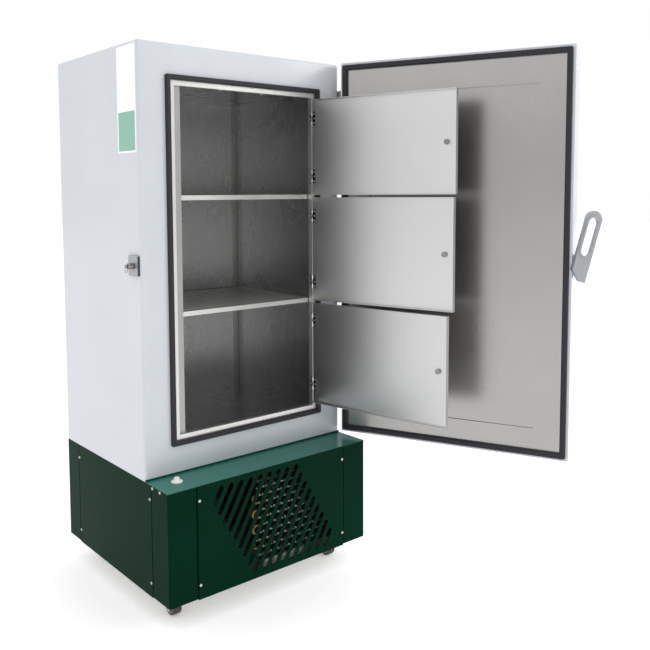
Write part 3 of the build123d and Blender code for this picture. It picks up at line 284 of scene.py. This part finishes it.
def rolled_texture():
    """Fine rolling lines and slow clouding of sheet steel; the three scales stretch the lines."""
    scales = {"Across X": 60.0, "Across Y": 60.0, "Across Z": 60.0, "Cloud Scale": 4.0}
    tree, given, result = shader_group("rolled_texture", scales, ["Line", "Cloud"])
    place = tree.nodes.new("ShaderNodeTexCoord")
    stretch = tree.nodes.new("ShaderNodeCombineXYZ")
    for axis in "XYZ":
        tree.links.new(given.outputs[f"Across {axis}"], stretch.inputs[axis])
    drawn = tree.nodes.new("ShaderNodeVectorMath")
    drawn.operation = "MULTIPLY"
    tree.links.new(place.outputs["Object"], drawn.inputs[0])
    tree.links.new(stretch.outputs["Vector"], drawn.inputs[1])
    lines = node(tree, "ShaderNodeTexNoise", Scale=1.0, Detail=4.0, Roughness=0.6)
    cloud = node(tree, "ShaderNodeTexNoise", Detail=4.0, Roughness=0.6, Distortion=0.4)
    tree.links.new(drawn.outputs["Vector"], lines.inputs["Vector"])
    tree.links.new(place.outputs["Object"], cloud.inputs["Vector"])
    tree.links.new(given.outputs["Cloud Scale"], cloud.inputs["Scale"])
    tree.links.new(lines.outputs["Fac"], result.inputs["Line"])
    tree.links.new(cloud.outputs["Fac"], result.inputs["Cloud"])
    return tree


def textured_material(name, builder):
    """A new material with its tree, its main shader and a texture group, which is built the first time."""
    made = bpy.data.materials.new(name)
    made.use_nodes = True
    tree = made.node_tree
    texture = tree.nodes.new("ShaderNodeGroup")
    texture.node_tree = bpy.data.node_groups.get(builder.__name__) or builder()
    return made, tree, tree.nodes["Principled BSDF"], texture


def spread(tree, source, low, high):
    """A value run from a mask to a low and high value."""
    made = node(
        tree, "ShaderNodeMapRange", From_Min=MASK_RANGE[0], From_Max=MASK_RANGE[1], To_Min=low, To_Max=high
    )
    tree.links.new(source, made.inputs["Value"])
    return made.outputs["Result"]


def colour_mix(tree, factor):
    """The two colour inputs and the output of a mix that is run by a factor."""
    made = tree.nodes.new("ShaderNodeMix")
    made.data_type = "RGBA"
    tree.links.new(factor, made.inputs["Factor"])
    first, second = (socket for socket in made.inputs if socket.type == "RGBA")
    return first, second, next(socket for socket in made.outputs if socket.type == "RGBA")


def shade(tree, source, base, tone):
    """A colour that runs from a little darker than base to a little lighter."""
    dark, light, result = colour_mix(tree, spread(tree, source, 0.0, 1.0))
    for socket, factor in ((dark, 1.0 - tone), (light, 1.0 + tone)):
        socket.default_value = [min(1.0, channel * factor) for channel in base] + [1.0]
    return result


def bumped(tree, shader, source, relief, distance):
    """Sends a height mask to the shader's normal."""
    bump = node(tree, "ShaderNodeBump", Strength=relief, Distance=distance)
    tree.links.new(source, bump.inputs["Height"])
    tree.links.new(bump.outputs["Normal"], shader.inputs["Normal"])


def coated(name, base, roughness, coat=0.0, peel=0.15, metallic=0.0, scale=700.0, tone=0.03, specular=0.5):
    """A sprayed or moulded finish with fine peel and slow mottling."""
    made, tree, shader, texture = textured_material(name, coat_texture)
    texture.inputs["Peel Scale"].default_value = scale
    mottle = texture.outputs["Mottle"]
    least, most = (roughness * factor for factor in COATED_ROUGHNESS)
    tree.links.new(shade(tree, mottle, base, tone), shader.inputs["Base Color"])
    tree.links.new(spread(tree, mottle, least, most), shader.inputs["Roughness"])
    bumped(tree, shader, texture.outputs["Peel"], peel, PEEL_DEPTH)
    shader.inputs["Metallic"].default_value = metallic
    shader.inputs["Specular IOR Level"].default_value = specular
    shader.inputs["Coat Weight"].default_value = coat
    shader.inputs["Coat Roughness"].default_value = COAT_ROUGHNESS
    return made


def sheet_metal(name, base, roughness, run="Z", cloud=4.0, tone=0.03, relief=0.02, metallic=1.0):
    """Bare sheet metal with rolling lines along one axis."""
    made, tree, shader, texture = textured_material(name, rolled_texture)
    for axis in "XYZ":
        texture.inputs[f"Across {axis}"].default_value = LINE_ALONG if axis == run else LINE_ACROSS
    texture.inputs["Cloud Scale"].default_value = cloud
    clouds = texture.outputs["Cloud"]
    lines = texture.outputs["Line"]
    tree.links.new(shade(tree, clouds, base, tone), shader.inputs["Base Color"])
    total = tree.nodes.new("ShaderNodeMath")
    total.operation = "MULTIPLY_ADD"
    tree.links.new(lines, total.inputs[0])
    total.inputs[1].default_value = LINE_SHARE
    tree.links.new(spread(tree, clouds, *CLOUD_RANGE), total.inputs[2])
    least, most = (roughness * factor for factor in ROLLED_ROUGHNESS)
    tree.links.new(spread(tree, total.outputs["Value"], least, most), shader.inputs["Roughness"])
    bumped(tree, shader, lines, relief, LINE_DEPTH)
    shader.inputs["Metallic"].default_value = metallic
    return made


def collared_tube(name, bare, collar, ends):
    """Copper tube that shows bright fin collars between two places along X and bare copper at its bends."""
    made = sheet_metal(name, bare, roughness=0.30, run="X", cloud=30.0, tone=0.10)
    tree = made.node_tree
    shade_input = tree.nodes["Principled BSDF"].inputs["Base Color"]
    place = tree.nodes.new("ShaderNodeTexCoord")
    along = tree.nodes.new("ShaderNodeSeparateXYZ")
    tree.links.new(place.outputs["Object"], along.inputs["Vector"])
    inside = tree.nodes.new("ShaderNodeMath")
    inside.operation = "COMPARE"
    inside.inputs[1].default_value = (ends[0] + ends[1]) / 2
    inside.inputs[2].default_value = (ends[1] - ends[0]) / 2
    tree.links.new(along.outputs["X"], inside.inputs[0])
    outer, inner, result = colour_mix(tree, inside.outputs["Value"])
    tree.links.new(shade_input.links[0].from_socket, outer)
    inner.default_value = (*collar, 1.0)
    tree.links.new(result, shade_input)
    return made


COATED_FINISHES = {
    "cabinet_white": {"roughness": 0.34, "coat": 0.25},
    "base_green": {"roughness": 0.20, "peel": 0.06, "tone": 0.10, "specular": 0.02},
    # The two ledge greens are copies of the base's paint, made paler as painted light and painted highlight.
    "ledge_green": {"roughness": 0.22, "peel": 0.06, "tone": 0.06, "specular": 0.20},
    "ledge_top": {"roughness": 0.22, "peel": 0.06, "tone": 0.06, "specular": 0.20},
    "lever_grey": {"roughness": 0.34, "coat": 0.2, "peel": 0.12, "metallic": 0.35, "scale": 1500.0},
    "gasket": {"roughness": 0.5, "peel": 0.2, "scale": 1200.0, "tone": 0.12, "specular": 0.3},
    "rubber": {"roughness": 0.6, "peel": 0.25, "scale": 900.0, "tone": 0.15},
    "tyre": {"roughness": 0.55, "peel": 0.3, "scale": 800.0, "tone": 0.2},
    "wheel_hub": {"roughness": 0.45, "peel": 0.2, "scale": 900.0},
    "machine_black": {"roughness": 0.38, "coat": 0.2, "scale": 900.0, "tone": 0.15},
    "foam": {"roughness": 0.85, "peel": 0.6, "scale": 350.0, "tone": 0.08},
    "grey_moulding": {"roughness": 0.48, "peel": 0.3, "scale": 1600.0},
    "dark_moulding": {"roughness": 0.5, "peel": 0.3, "scale": 1600.0, "tone": 0.1},
    "display": {"roughness": 0.12, "coat": 0.8, "peel": 0.01, "tone": 0.05},
    "nylon": {"roughness": 0.42, "peel": 0.1},
    "label_film": {"roughness": 0.28, "coat": 0.3, "peel": 0.03, "tone": 0.01},
    "label_block": {"roughness": 0.28, "coat": 0.3, "peel": 0.03, "tone": 0.05},
}

SHEET_FINISHES = {
    "chamber_steel": {"roughness": 0.27, "tone": 0.01},
    "strip_steel": {"roughness": 0.36, "cloud": 9.0, "metallic": 0.9},
    "catch_steel": {"roughness": 0.36, "cloud": 9.0, "metallic": 0.9},
    "shelf_steel": {"roughness": 0.36, "run": "X", "cloud": 9.0, "metallic": 0.9},
    "door_steel": {"roughness": 0.26, "cloud": 2.6, "tone": 0.04},
    "tray_steel": {"roughness": 0.32, "cloud": 3.0, "tone": 0.02},
    "zinc": {"roughness": 0.34, "cloud": 40.0, "tone": 0.10},
    "chrome": {"roughness": 0.10, "run": "X", "cloud": 30.0, "relief": 0.01},
    # Darkened chrome: painted shade standing in for dark reflections on the lock and knobs.
    "dark_nickel": {"roughness": 0.12, "run": "X", "cloud": 30.0, "relief": 0.01},
    # Dark fins: painted shade for the shadow inside the machine base.
    "fin": {"roughness": 0.35, "cloud": 20.0},
    "copper": {"roughness": 0.28, "run": "X", "cloud": 30.0, "tone": 0.15},
}

NODE_FINISH = {
    "cabinet_white": ["outer_shell", "door_skin", "latch_bracket"],
    "foam": ["insulation", "door_core"],
    "chamber_steel": ["inner_liner"],
    "strip_steel": ["breaker_strips"],
    "catch_steel": ["catch_strip", "shelf_supports"],
    "shelf_steel": ["shelf_lower", "shelf_upper"],
    "door_steel": ["door_liner"],
    "tray_steel": [f"inner_door_{level}" for level in LEVELS],
    "gasket": ["cabinet_gasket", "door_gasket"],
    "zinc": [
        "cabinet_hinge_leaves", "door_hinge_leaves", "base_pan", "upper_frame", "panel_screws", "fan_shroud",
        "electrical_box", "caster_plates", *(f"caster_fork_{corner}" for corner in CORNERS),
    ],
    "lever_grey": ["lock_strike", "latch_handle"],
    # The lock and the inner fittings take chrome darkened as painted shade.
    "dark_nickel": ["lock_barrel", "lock_key", "key_ring", *(f"inner_fittings_{level}" for level in LEVELS)],
    "chrome": ["inner_hinge_fixed_leaves"],
    # The ledge cover takes the paler copy of the base's green: painted light.
    "ledge_green": ["ledge_cover"],
    "base_green": ["corner_posts", "front_grille", "left_panel", "right_panel", "rear_panel"],
    "nylon": ["door_rest"],
    "dark_moulding": ["supply_inlet", "control_keypad", "fan_blade"],
    "fin": ["condenser_fins"],
    "tube": ["condenser_tube"],
    "copper": ["filter_drier"],
    "machine_black": ["fan_motor", "compressors"],
    "rubber": ["compressor_grommets"],
    "tyre": [f"caster_wheel_{corner}" for corner in CORNERS],
    "grey_moulding": ["control_bezel"],
    "display": ["control_window"],
}


def finishes(colours, sizes):
    """Every finish of the freezer, by name; each takes the colour setting of the same name."""
    made = {}
    for name, look in COATED_FINISHES.items():
        made[name] = coated(name, getattr(colours, name), **look)
    for name, look in SHEET_FINISHES.items():
        made[name] = sheet_metal(name, getattr(colours, name), **look)
    low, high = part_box("condenser_fins")
    collars = (low[0] - sizes.collar_margin, high[0] + sizes.collar_margin)
    made["tube"] = collared_tube("tube", colours.copper, colours.collar, collars)
    return made


def finish_piece(name, mesh, material, body):
    """Puts a finished bmesh in the scene as a piece that rides on a body."""
    data = bpy.data.meshes.new(name)
    bmesh.ops.recalc_face_normals(mesh, faces=mesh.faces)
    mesh.to_mesh(data)
    mesh.free()
    data.materials.append(bpy.data.materials[material])
    piece = bpy.data.objects.new(name, data)
    bpy.context.scene.collection.objects.link(piece)
    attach(piece, body)
    return piece


def swung(joint):
    """The matrix that swings a piece from the joint's lower limit, its closed door, to the rest pose."""
    axis = Matrix.Translation(JOINTS[joint]["pos_m"])
    turn = -math.radians(JOINTS[joint]["range_deg"][0])
    return axis @ Matrix.Rotation(turn, 4, "Z") @ axis.inverted()


def solids_of(name, back=Matrix()):
    """Lowest and highest corner of each separate solid in a CAD node, after a matrix has moved it back."""
    mesh = bmesh.new()
    mesh.from_mesh(frame["nodes"][name].data)
    bmesh.ops.transform(mesh, matrix=back, verts=mesh.verts)
    bmesh.ops.remove_doubles(mesh, verts=mesh.verts, dist=MERGE_DISTANCE)
    seen = set()
    boxes = []
    for first in mesh.verts:
        if first in seen:
            continue
        seen.add(first)
        found = [first]
        for vertex in found:
            for edge in vertex.link_edges:
                other = edge.other_vert(vertex)
                if other not in seen:
                    seen.add(other)
                    found.append(other)
        lowest = Vector(min(vertex.co[axis] for vertex in found) for axis in range(3))
        highest = Vector(max(vertex.co[axis] for vertex in found) for axis in range(3))
        boxes.append((lowest, highest))
    mesh.free()
    return boxes


def facing(place, outward, up=UP):
    """A matrix that stands a piece made on the XY plane at a place, with its Z pointing outward."""
    side = up.cross(outward).normalized()
    turn = Matrix((side, outward.cross(side), outward)).transposed().to_4x4()
    return Matrix.Translation(place) @ turn


def add_to(target, made, matrix):
    """Moves a small bmesh to its place and joins it to another one."""
    bmesh.ops.transform(made, matrix=matrix, verts=made.verts)
    data = bpy.data.meshes.new("part")
    made.to_mesh(data)
    made.free()
    target.from_mesh(data)
    bpy.data.meshes.remove(data)


def extrude_along_z(made, faces, rise):
    """Extrudes faces and moves the new ones along Z."""
    new = bmesh.ops.extrude_face_region(made, geom=faces)["geom"]
    moved = [item for item in new if isinstance(item, bmesh.types.BMVert)]
    bmesh.ops.translate(made, verts=moved, vec=(0, 0, rise))


def plain_head(radius, rise, segments, rounding):
    """A low round head on the XY plane with a softened rim."""
    made = bmesh.new()
    bmesh.ops.create_circle(made, cap_ends=True, radius=radius, segments=segments)
    extrude_along_z(made, made.faces[:], rise)
    rim = [edge for edge in made.edges if all(vertex.co.z > rise / 2 for vertex in edge.verts)]
    bmesh.ops.bevel(
        made, geom=rim, offset=rise * rounding, affect="EDGES", segments=RIM_SEGMENTS, profile=0.5,
        material=-1, clamp_overlap=True,
    )
    return made


def domed_head(target, matrix, radius, rise, segments=HEAD_SEGMENTS):
    """Adds a screw head with a softened rim."""
    add_to(target, plain_head(radius, rise, segments, DOME_ROUNDING), matrix)


def cross_head(target, matrix, radius, rise, sizes):
    """Adds a pan head with a cross recess cut into its crown."""
    made = plain_head(radius, rise, CROSS_HEAD_SEGMENTS, PAN_ROUNDING)
    half = sizes.recess_width / 2
    for axis in (0, 1):
        for offset in (-sizes.recess_reach, -half, half, sizes.recess_reach):
            normal = Vector((0, 0, 0))
            normal[axis] = 1
            geometry = made.verts[:] + made.edges[:] + made.faces[:]
            bmesh.ops.bisect_plane(made, geom=geometry, plane_co=normal * offset, plane_no=normal)
    slots = []
    for face in made.faces:
        middle = face.calc_center_median()
        near, far = sorted((abs(middle.x), abs(middle.y)))
        on_crown = face.normal.z > SQUARE_ON and middle.z > rise * CROWN_SHARE
        if on_crown and near < half and far < sizes.recess_reach:
            slots.append(face)
    extrude_along_z(made, slots, -sizes.recess_depth)
    bmesh.ops.delete(made, geom=slots, context="FACES")
    add_to(target, made, matrix)


def rounded_plate(target, matrix, width, height, thickness, corner):
    """Adds a flat plate with rounded corners, standing up from the matrix's XY plane."""
    made = bmesh.new()
    bmesh.ops.create_grid(made, x_segments=1, y_segments=1, size=0.5)
    bmesh.ops.scale(made, verts=made.verts, vec=(width, height, 1))
    bmesh.ops.bevel(
        made, geom=made.verts[:], offset=corner, affect="VERTICES", segments=PLATE_CORNER_SEGMENTS,
        profile=0.5, material=-1,
    )
    extrude_along_z(made, made.faces[:], thickness)
    add_to(target, made, matrix)


class FREEZER_OT_finishes(bpy.types.Operator):
    """Gives every CAD piece its finish"""
    bl_idname = "freezer.finishes"
    bl_label = "Finishes"

    def execute(self, context):
        made = finishes(context.scene.freezer_finish, context.scene.freezer_sizes)
        bare = set(frame["nodes"])
        for finish, names in NODE_FINISH.items():
            for name in names:
                data = frame["nodes"][name].data
                data.materials.clear()
                data.materials.append(made[finish])
                bare.remove(name)
        if bare:
            raise RuntimeError(f"no finish for {sorted(bare)}")
        for name in NODE_FINISH["tyre"]:
            joint = JOINTS[name.replace("caster_wheel", "roll")]
            axle, line = Vector(joint["pos_m"]), Vector(joint["axis"])
            wheel = frame["nodes"][name].data
            reach = [(vertex.co - axle).cross(line).length for vertex in wheel.vertices]
            rim = HUB_SHARE * max(reach)
            self.second_finish(
                name, made["wheel_hub"], lambda face: max(reach[i] for i in face.vertices) < rim
            )
        # Front-facing faces of the strike take the dark moulding finish: painted shade on the strike's front
        # edge.
        self.second_finish("lock_strike", made["dark_moulding"], lambda face: face.normal.y < -SQUARE_ON)
        # Upward faces of the ledge take the palest copy of the green: a painted highlight on the top.
        self.second_finish("ledge_cover", made["ledge_top"], lambda face: face.normal.z > SQUARE_ON)
        self.second_finish("base_pan", made["base_green"], lambda face: abs(face.normal.z) < UPRIGHT)
        return {"FINISHED"}

    @staticmethod
    def second_finish(name, finish, chosen):
        """Gives the chosen faces of a CAD piece another finish."""
        data = frame["nodes"][name].data
        data.materials.append(finish)
        for face in data.polygons:
            if chosen(face):
                face.material_index = 1


class FREEZER_OT_panel_screws(bpy.types.Operator):
    """Cross-recessed screws of the base panels"""
    bl_idname = "freezer.panel_screws"
    bl_label = "Panel screws"

    def execute(self, context):
        sizes = context.scene.freezer_sizes
        mesh = bmesh.new()
        for lowest, highest in solids_of("panel_screws"):
            extent = highest - lowest
            middle = (lowest + highest) / 2
            axis = min(range(3), key=lambda i: extent[i])
            outward = Vector((0, 0, 0))
            outward[axis] = math.copysign(1, middle[axis])
            seat = middle - outward * extent[axis] / 2
            cross_head(mesh, facing(seat, outward), max(extent) / 2, extent[axis], sizes)
        piece = finish_piece("base_screws", mesh, "zinc", "cabinet")
        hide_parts("panel_screws")
        return {"FINISHED"}


class FREEZER_OT_hinge_screws(bpy.types.Operator):
    """Small screws in both leaves of the inner doors' hinges"""
    bl_idname = "freezer.hinge_screws"
    bl_label = "Hinge screws"

    def execute(self, context):
        sizes = context.scene.freezer_sizes
        axis = Vector(JOINTS["inner_upper_hinge"]["pos_m"])
        mesh = bmesh.new()
        for lowest, highest in solids_of("inner_hinge_fixed_leaves"):
            if highest.y - lowest.y > sizes.leaf_depth:
                x = highest.x - sizes.leaf_overlap - sizes.leaf_sheet
                y = (2 * axis.y - lowest.y + highest.y) / 2
                place = Vector((x, y, (lowest.z + highest.z) / 2))
                self.row(mesh, place, LEFT, Matrix(), sizes)
        finish_piece("inner_leaf_screws", mesh, "zinc", "cabinet")
        for level in LEVELS:
            open_up = swung(f"inner_{level}_hinge")
            mesh = bmesh.new()
            for lowest, highest in solids_of(f"inner_fittings_{level}", open_up.inverted()):
                if highest.z - lowest.z > sizes.leaf_height:
                    x = (lowest.x + 2 * axis.x - highest.x) / 2
                    y = axis.y + sizes.tray_sheet / 2 + sizes.leaf_sheet
                    place = Vector((x, y, (lowest.z + highest.z) / 2))
                    self.row(mesh, place, BACK, open_up, sizes)
            finish_piece(f"inner_{level}_leaf_screws", mesh, "zinc", f"inner_{level}")
        return {"FINISHED"}

    @staticmethod
    def row(mesh, place, outward, swing, sizes):
        """Three screws up a leaf."""
        for step in (-1, 0, 1):
            matrix = swing @ facing(place + UP * step * sizes.leaf_screw_pitch, outward)
            domed_head(mesh, matrix, sizes.leaf_screw, sizes.leaf_screw_rise, SMALL_HEAD_SEGMENTS)


class FREEZER_OT_ceiling_screws(bpy.types.Operator):
    """Two domed screws in the chamber's ceiling"""
    bl_idname = "freezer.ceiling_screws"
    bl_label = "Ceiling screws"

    def execute(self, context):
        sizes = context.scene.freezer_sizes
        mesh = bmesh.new()
        for share in CEILING_SHARES:
            place = Vector((
                LINER_LOW.x + share * (LINER_HIGH.x - LINER_LOW.x),
                LINER_LOW.y + sizes.ceiling_screw_set,
                LINER_HIGH.z - sizes.liner_sheet,
            ))
            domed_head(mesh, facing(place, DOWN, BACK), sizes.ceiling_screw, sizes.ceiling_screw_rise)
        finish_piece("ceiling_screws", mesh, "zinc", "cabinet")
        return {"FINISHED"}


class FREEZER_OT_rub_pads(bpy.types.Operator):
    """Small round pads on the door's liner, where the inner doors' knobs meet it"""
    bl_idname = "freezer.rub_pads"
    bl_label = "Rub pads"

    def execute(self, context):
        sizes = context.scene.freezer_sizes
        open_up = swung("door_hinge")
        lowest, highest = solids_of("door_liner", open_up.inverted())[0]
        x = (lowest.x + highest.x) / 2 - sizes.pad_offset
        y = highest.y - sizes.pad_recess
        mesh = bmesh.new()
        for level in LEVELS:
            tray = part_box(f"inner_door_{level}")
            place = Vector((x, y, (tray[0][2] + tray[1][2]) / 2))
            domed_head(mesh, open_up @ facing(place, BACK), sizes.pad_radius, sizes.pad_rise)
        finish_piece("door_rub_pads", mesh, "door_steel", "door")
        return {"FINISHED"}


class FREEZER_OT_keys(bpy.types.Operator):
    """Plain keys on the controller's keypad"""
    bl_idname = "freezer.keys"
    bl_label = "Keys"

    def execute(self, context):
        sizes = context.scene.freezer_sizes
        open_up = swung("door_hinge")
        lowest, highest = solids_of("control_keypad", open_up.inverted())[0]
        middle = (lowest + highest) / 2
        mesh = bmesh.new()
        for step in range(KEY_COUNT):
            offset = (step - (KEY_COUNT - 1) / 2) * sizes.key_pitch
            place = Vector((middle.x + offset, lowest.y, middle.z))
            matrix = open_up @ facing(place, FRONT)
            rounded_plate(mesh, matrix, sizes.key_side, sizes.key_side, sizes.key_rise, sizes.key_round)
        finish_piece("keypad_keys", mesh, "grey_moulding", "door")
        return {"FINISHED"}


class FREEZER_OT_side_label(bpy.types.Operator):
    """Bare film with a plain tinted block on the cabinet's left side"""
    bl_idname = "freezer.side_label"
    bl_label = "Side label"

    def execute(self, context):
        sizes = context.scene.freezer_sizes
        place = Vector((
            SHELL_LOW.x,
            SHELL_LOW.y + sizes.label_edge + sizes.label_width / 2,
            SHELL_HIGH.z - sizes.label_drop - sizes.label_height / 2,
        ))
        film = bmesh.new()
        rounded_plate(
            film, facing(place, LEFT),
            sizes.label_width, sizes.label_height, sizes.label_thickness, sizes.label_round,
        )
        finish_piece("side_film", film, "label_film", "cabinet")
        place.x -= sizes.label_thickness
        place.z += (sizes.block_height - sizes.label_height) / 2 + sizes.block_margin
        width = sizes.label_width - 2 * sizes.block_margin
        block = bmesh.new()
        rounded_plate(
            block, facing(place, LEFT), width, sizes.block_height, sizes.block_thickness, sizes.block_round
        )
        finish_piece("side_film_block", block, "label_block", "cabinet")
        return {"FINISHED"}


class FREEZER_OT_stage(bpy.types.Operator):
    """Pale floor, soft light and the camera"""
    bl_idname = "freezer.stage"
    bl_label = "Stage"

    def execute(self, context):
        scene = context.scene
        stage = scene.freezer_stage
        scene.view_settings.view_transform = "Standard"
        scene.world = self.surround(stage)
        self.lay_floor(scene, stage)
        self.area_light(scene, "key_light", stage.key_place, stage.key_target, stage.key_side, stage.key)
        self.area_light(
            scene, "front_light", stage.front_place, stage.front_target, stage.front_side, stage.front
        )
        self.set_camera(scene, stage)
        return {"FINISHED"}

    @staticmethod
    def lay_floor(scene, stage):
        """A wide plain floor that glows a little."""
        floor = bmesh.new()
        bmesh.ops.create_grid(floor, x_segments=1, y_segments=1, size=stage.floor_reach)
        data = bpy.data.meshes.new("floor")
        floor.to_mesh(data)
        floor.free()
        paper = coated("floor", stage.floor, roughness=0.7, peel=0.0, tone=0.005)
        shader = paper.node_tree.nodes["Principled BSDF"]
        shader.inputs["Emission Color"].default_value = (*stage.floor, 1.0)
        shader.inputs["Emission Strength"].default_value = stage.floor_glow
        data.materials.append(paper)
        ground = bpy.data.objects.new("floor", data)
        scene.collection.objects.link(ground)

    @staticmethod
    def set_camera(scene, stage):
        """A camera whose lens is centred off the middle of the image."""
        lens = bpy.data.cameras.new("camera")
        lens.sensor_width = SENSOR_WIDTH
        lens.lens = stage.focal * SENSOR_WIDTH / IMAGE_SIDE
        lens.shift_x = 0.5 - stage.centre_x / IMAGE_SIDE
        lens.shift_y = stage.centre_y / IMAGE_SIDE - 0.5
        camera = bpy.data.objects.new("camera", lens)
        pan = Matrix.Rotation(stage.azimuth, 4, "Z")
        tilt = Matrix.Rotation(math.pi / 2 - stage.elevation, 4, "X")
        roll = Matrix.Rotation(stage.roll, 4, "Z")
        camera.matrix_world = Matrix.Translation(stage.camera) @ pan @ tilt @ roll
        scene.collection.objects.link(camera)
        scene.camera = camera

    @staticmethod
    def surround(stage):
        """A white backdrop that lights the object more from above than from the sides."""
        world = bpy.data.worlds.new("surround")
        world.use_nodes = True
        tree = world.node_tree
        backdrop = tree.nodes["Background"]
        backdrop.inputs["Color"].default_value = (1, 1, 1, 1)
        dome = node(tree, "ShaderNodeBackground", Color=(1, 1, 1, 1))
        direction = tree.nodes.new("ShaderNodeTexCoord")
        height = tree.nodes.new("ShaderNodeSeparateXYZ")
        rise = node(tree, "ShaderNodeMapRange", To_Max=stage.zenith)
        tree.links.new(direction.outputs["Generated"], height.inputs["Vector"])
        aim = tree.nodes.new("ShaderNodeVectorMath")
        aim.operation = "DOT_PRODUCT"
        aim.inputs[1].default_value = (math.cos(stage.bright_azimuth), math.sin(stage.bright_azimuth), 0)
        tree.links.new(direction.outputs["Generated"], aim.inputs[0])
        turn = node(tree, "ShaderNodeMapRange", From_Min=-1.0)
        gather = tree.nodes.new("ShaderNodeMath")
        gather.operation = "POWER"
        gather.inputs[1].default_value = stage.bright_focus
        side = node(tree, "ShaderNodeMapRange", To_Min=stage.dark_side, To_Max=stage.bright_side)
        tree.links.new(aim.outputs["Value"], turn.inputs["Value"])
        tree.links.new(turn.outputs["Result"], gather.inputs[0])
        tree.links.new(gather.outputs["Value"], side.inputs["Value"])
        tree.links.new(side.outputs["Result"], rise.inputs["To Min"])
        tree.links.new(height.outputs["Z"], rise.inputs["Value"])
        tree.links.new(rise.outputs["Result"], dome.inputs["Strength"])
        path = tree.nodes.new("ShaderNodeLightPath")
        either = tree.nodes.new("ShaderNodeMixShader")
        tree.links.new(path.outputs["Is Camera Ray"], either.inputs["Fac"])
        tree.links.new(dome.outputs["Background"], either.inputs[1])
        tree.links.new(backdrop.outputs["Background"], either.inputs[2])
        tree.links.new(either.outputs["Shader"], tree.nodes["World Output"].inputs["Surface"])
        return world

    @staticmethod
    def area_light(scene, name, place, target, side, watts):
        """A square soft light aimed at a point."""
        data = bpy.data.lights.new(name, "AREA")
        data.shape = "SQUARE"
        data.size = side
        data.energy = watts
        light = bpy.data.objects.new(name, data)
        aim = (Vector(target) - Vector(place)).to_track_quat("-Z", "Y").to_matrix().to_4x4()
        light.matrix_world = Matrix.Translation(place) @ aim
        scene.collection.objects.link(light)


OPERATORS = (
    FREEZER_OT_finishes,
    FREEZER_OT_panel_screws,
    FREEZER_OT_hinge_screws,
    FREEZER_OT_ceiling_screws,
    FREEZER_OT_rub_pads,
    FREEZER_OT_keys,
    FREEZER_OT_side_label,
    FREEZER_OT_stage,
)


class FREEZER_PT_panel(bpy.types.Panel):
    """The freezer's pieces, in the order they are made"""
    bl_label = "Freezer"
    bl_idname = "FREEZER_PT_panel"
    bl_space_type = "VIEW_3D"
    bl_region_type = "UI"
    bl_category = "Freezer"

    def draw(self, context):
        for operator in OPERATORS:
            self.layout.operator(operator.bl_idname)


CLASSES = (FreezerFinish, FreezerSizes, FreezerStage, *OPERATORS, FREEZER_PT_panel)


def register():
    for made in CLASSES:
        bpy.utils.register_class(made)
    bpy.types.Scene.freezer_finish = PointerProperty(type=FreezerFinish)
    bpy.types.Scene.freezer_sizes = PointerProperty(type=FreezerSizes)
    bpy.types.Scene.freezer_stage = PointerProperty(type=FreezerStage)


def unregister():
    del bpy.types.Scene.freezer_stage
    del bpy.types.Scene.freezer_sizes
    del bpy.types.Scene.freezer_finish
    for made in reversed(CLASSES):
        bpy.utils.unregister_class(made)


def main():
    register()
    bpy.ops.freezer.finishes()
    bpy.ops.freezer.panel_screws()
    bpy.ops.freezer.hinge_screws()
    bpy.ops.freezer.ceiling_screws()
    bpy.ops.freezer.rub_pads()
    bpy.ops.freezer.keys()
    bpy.ops.freezer.side_label()
    bpy.ops.freezer.stage()


if __name__ == "__main__":
    main()
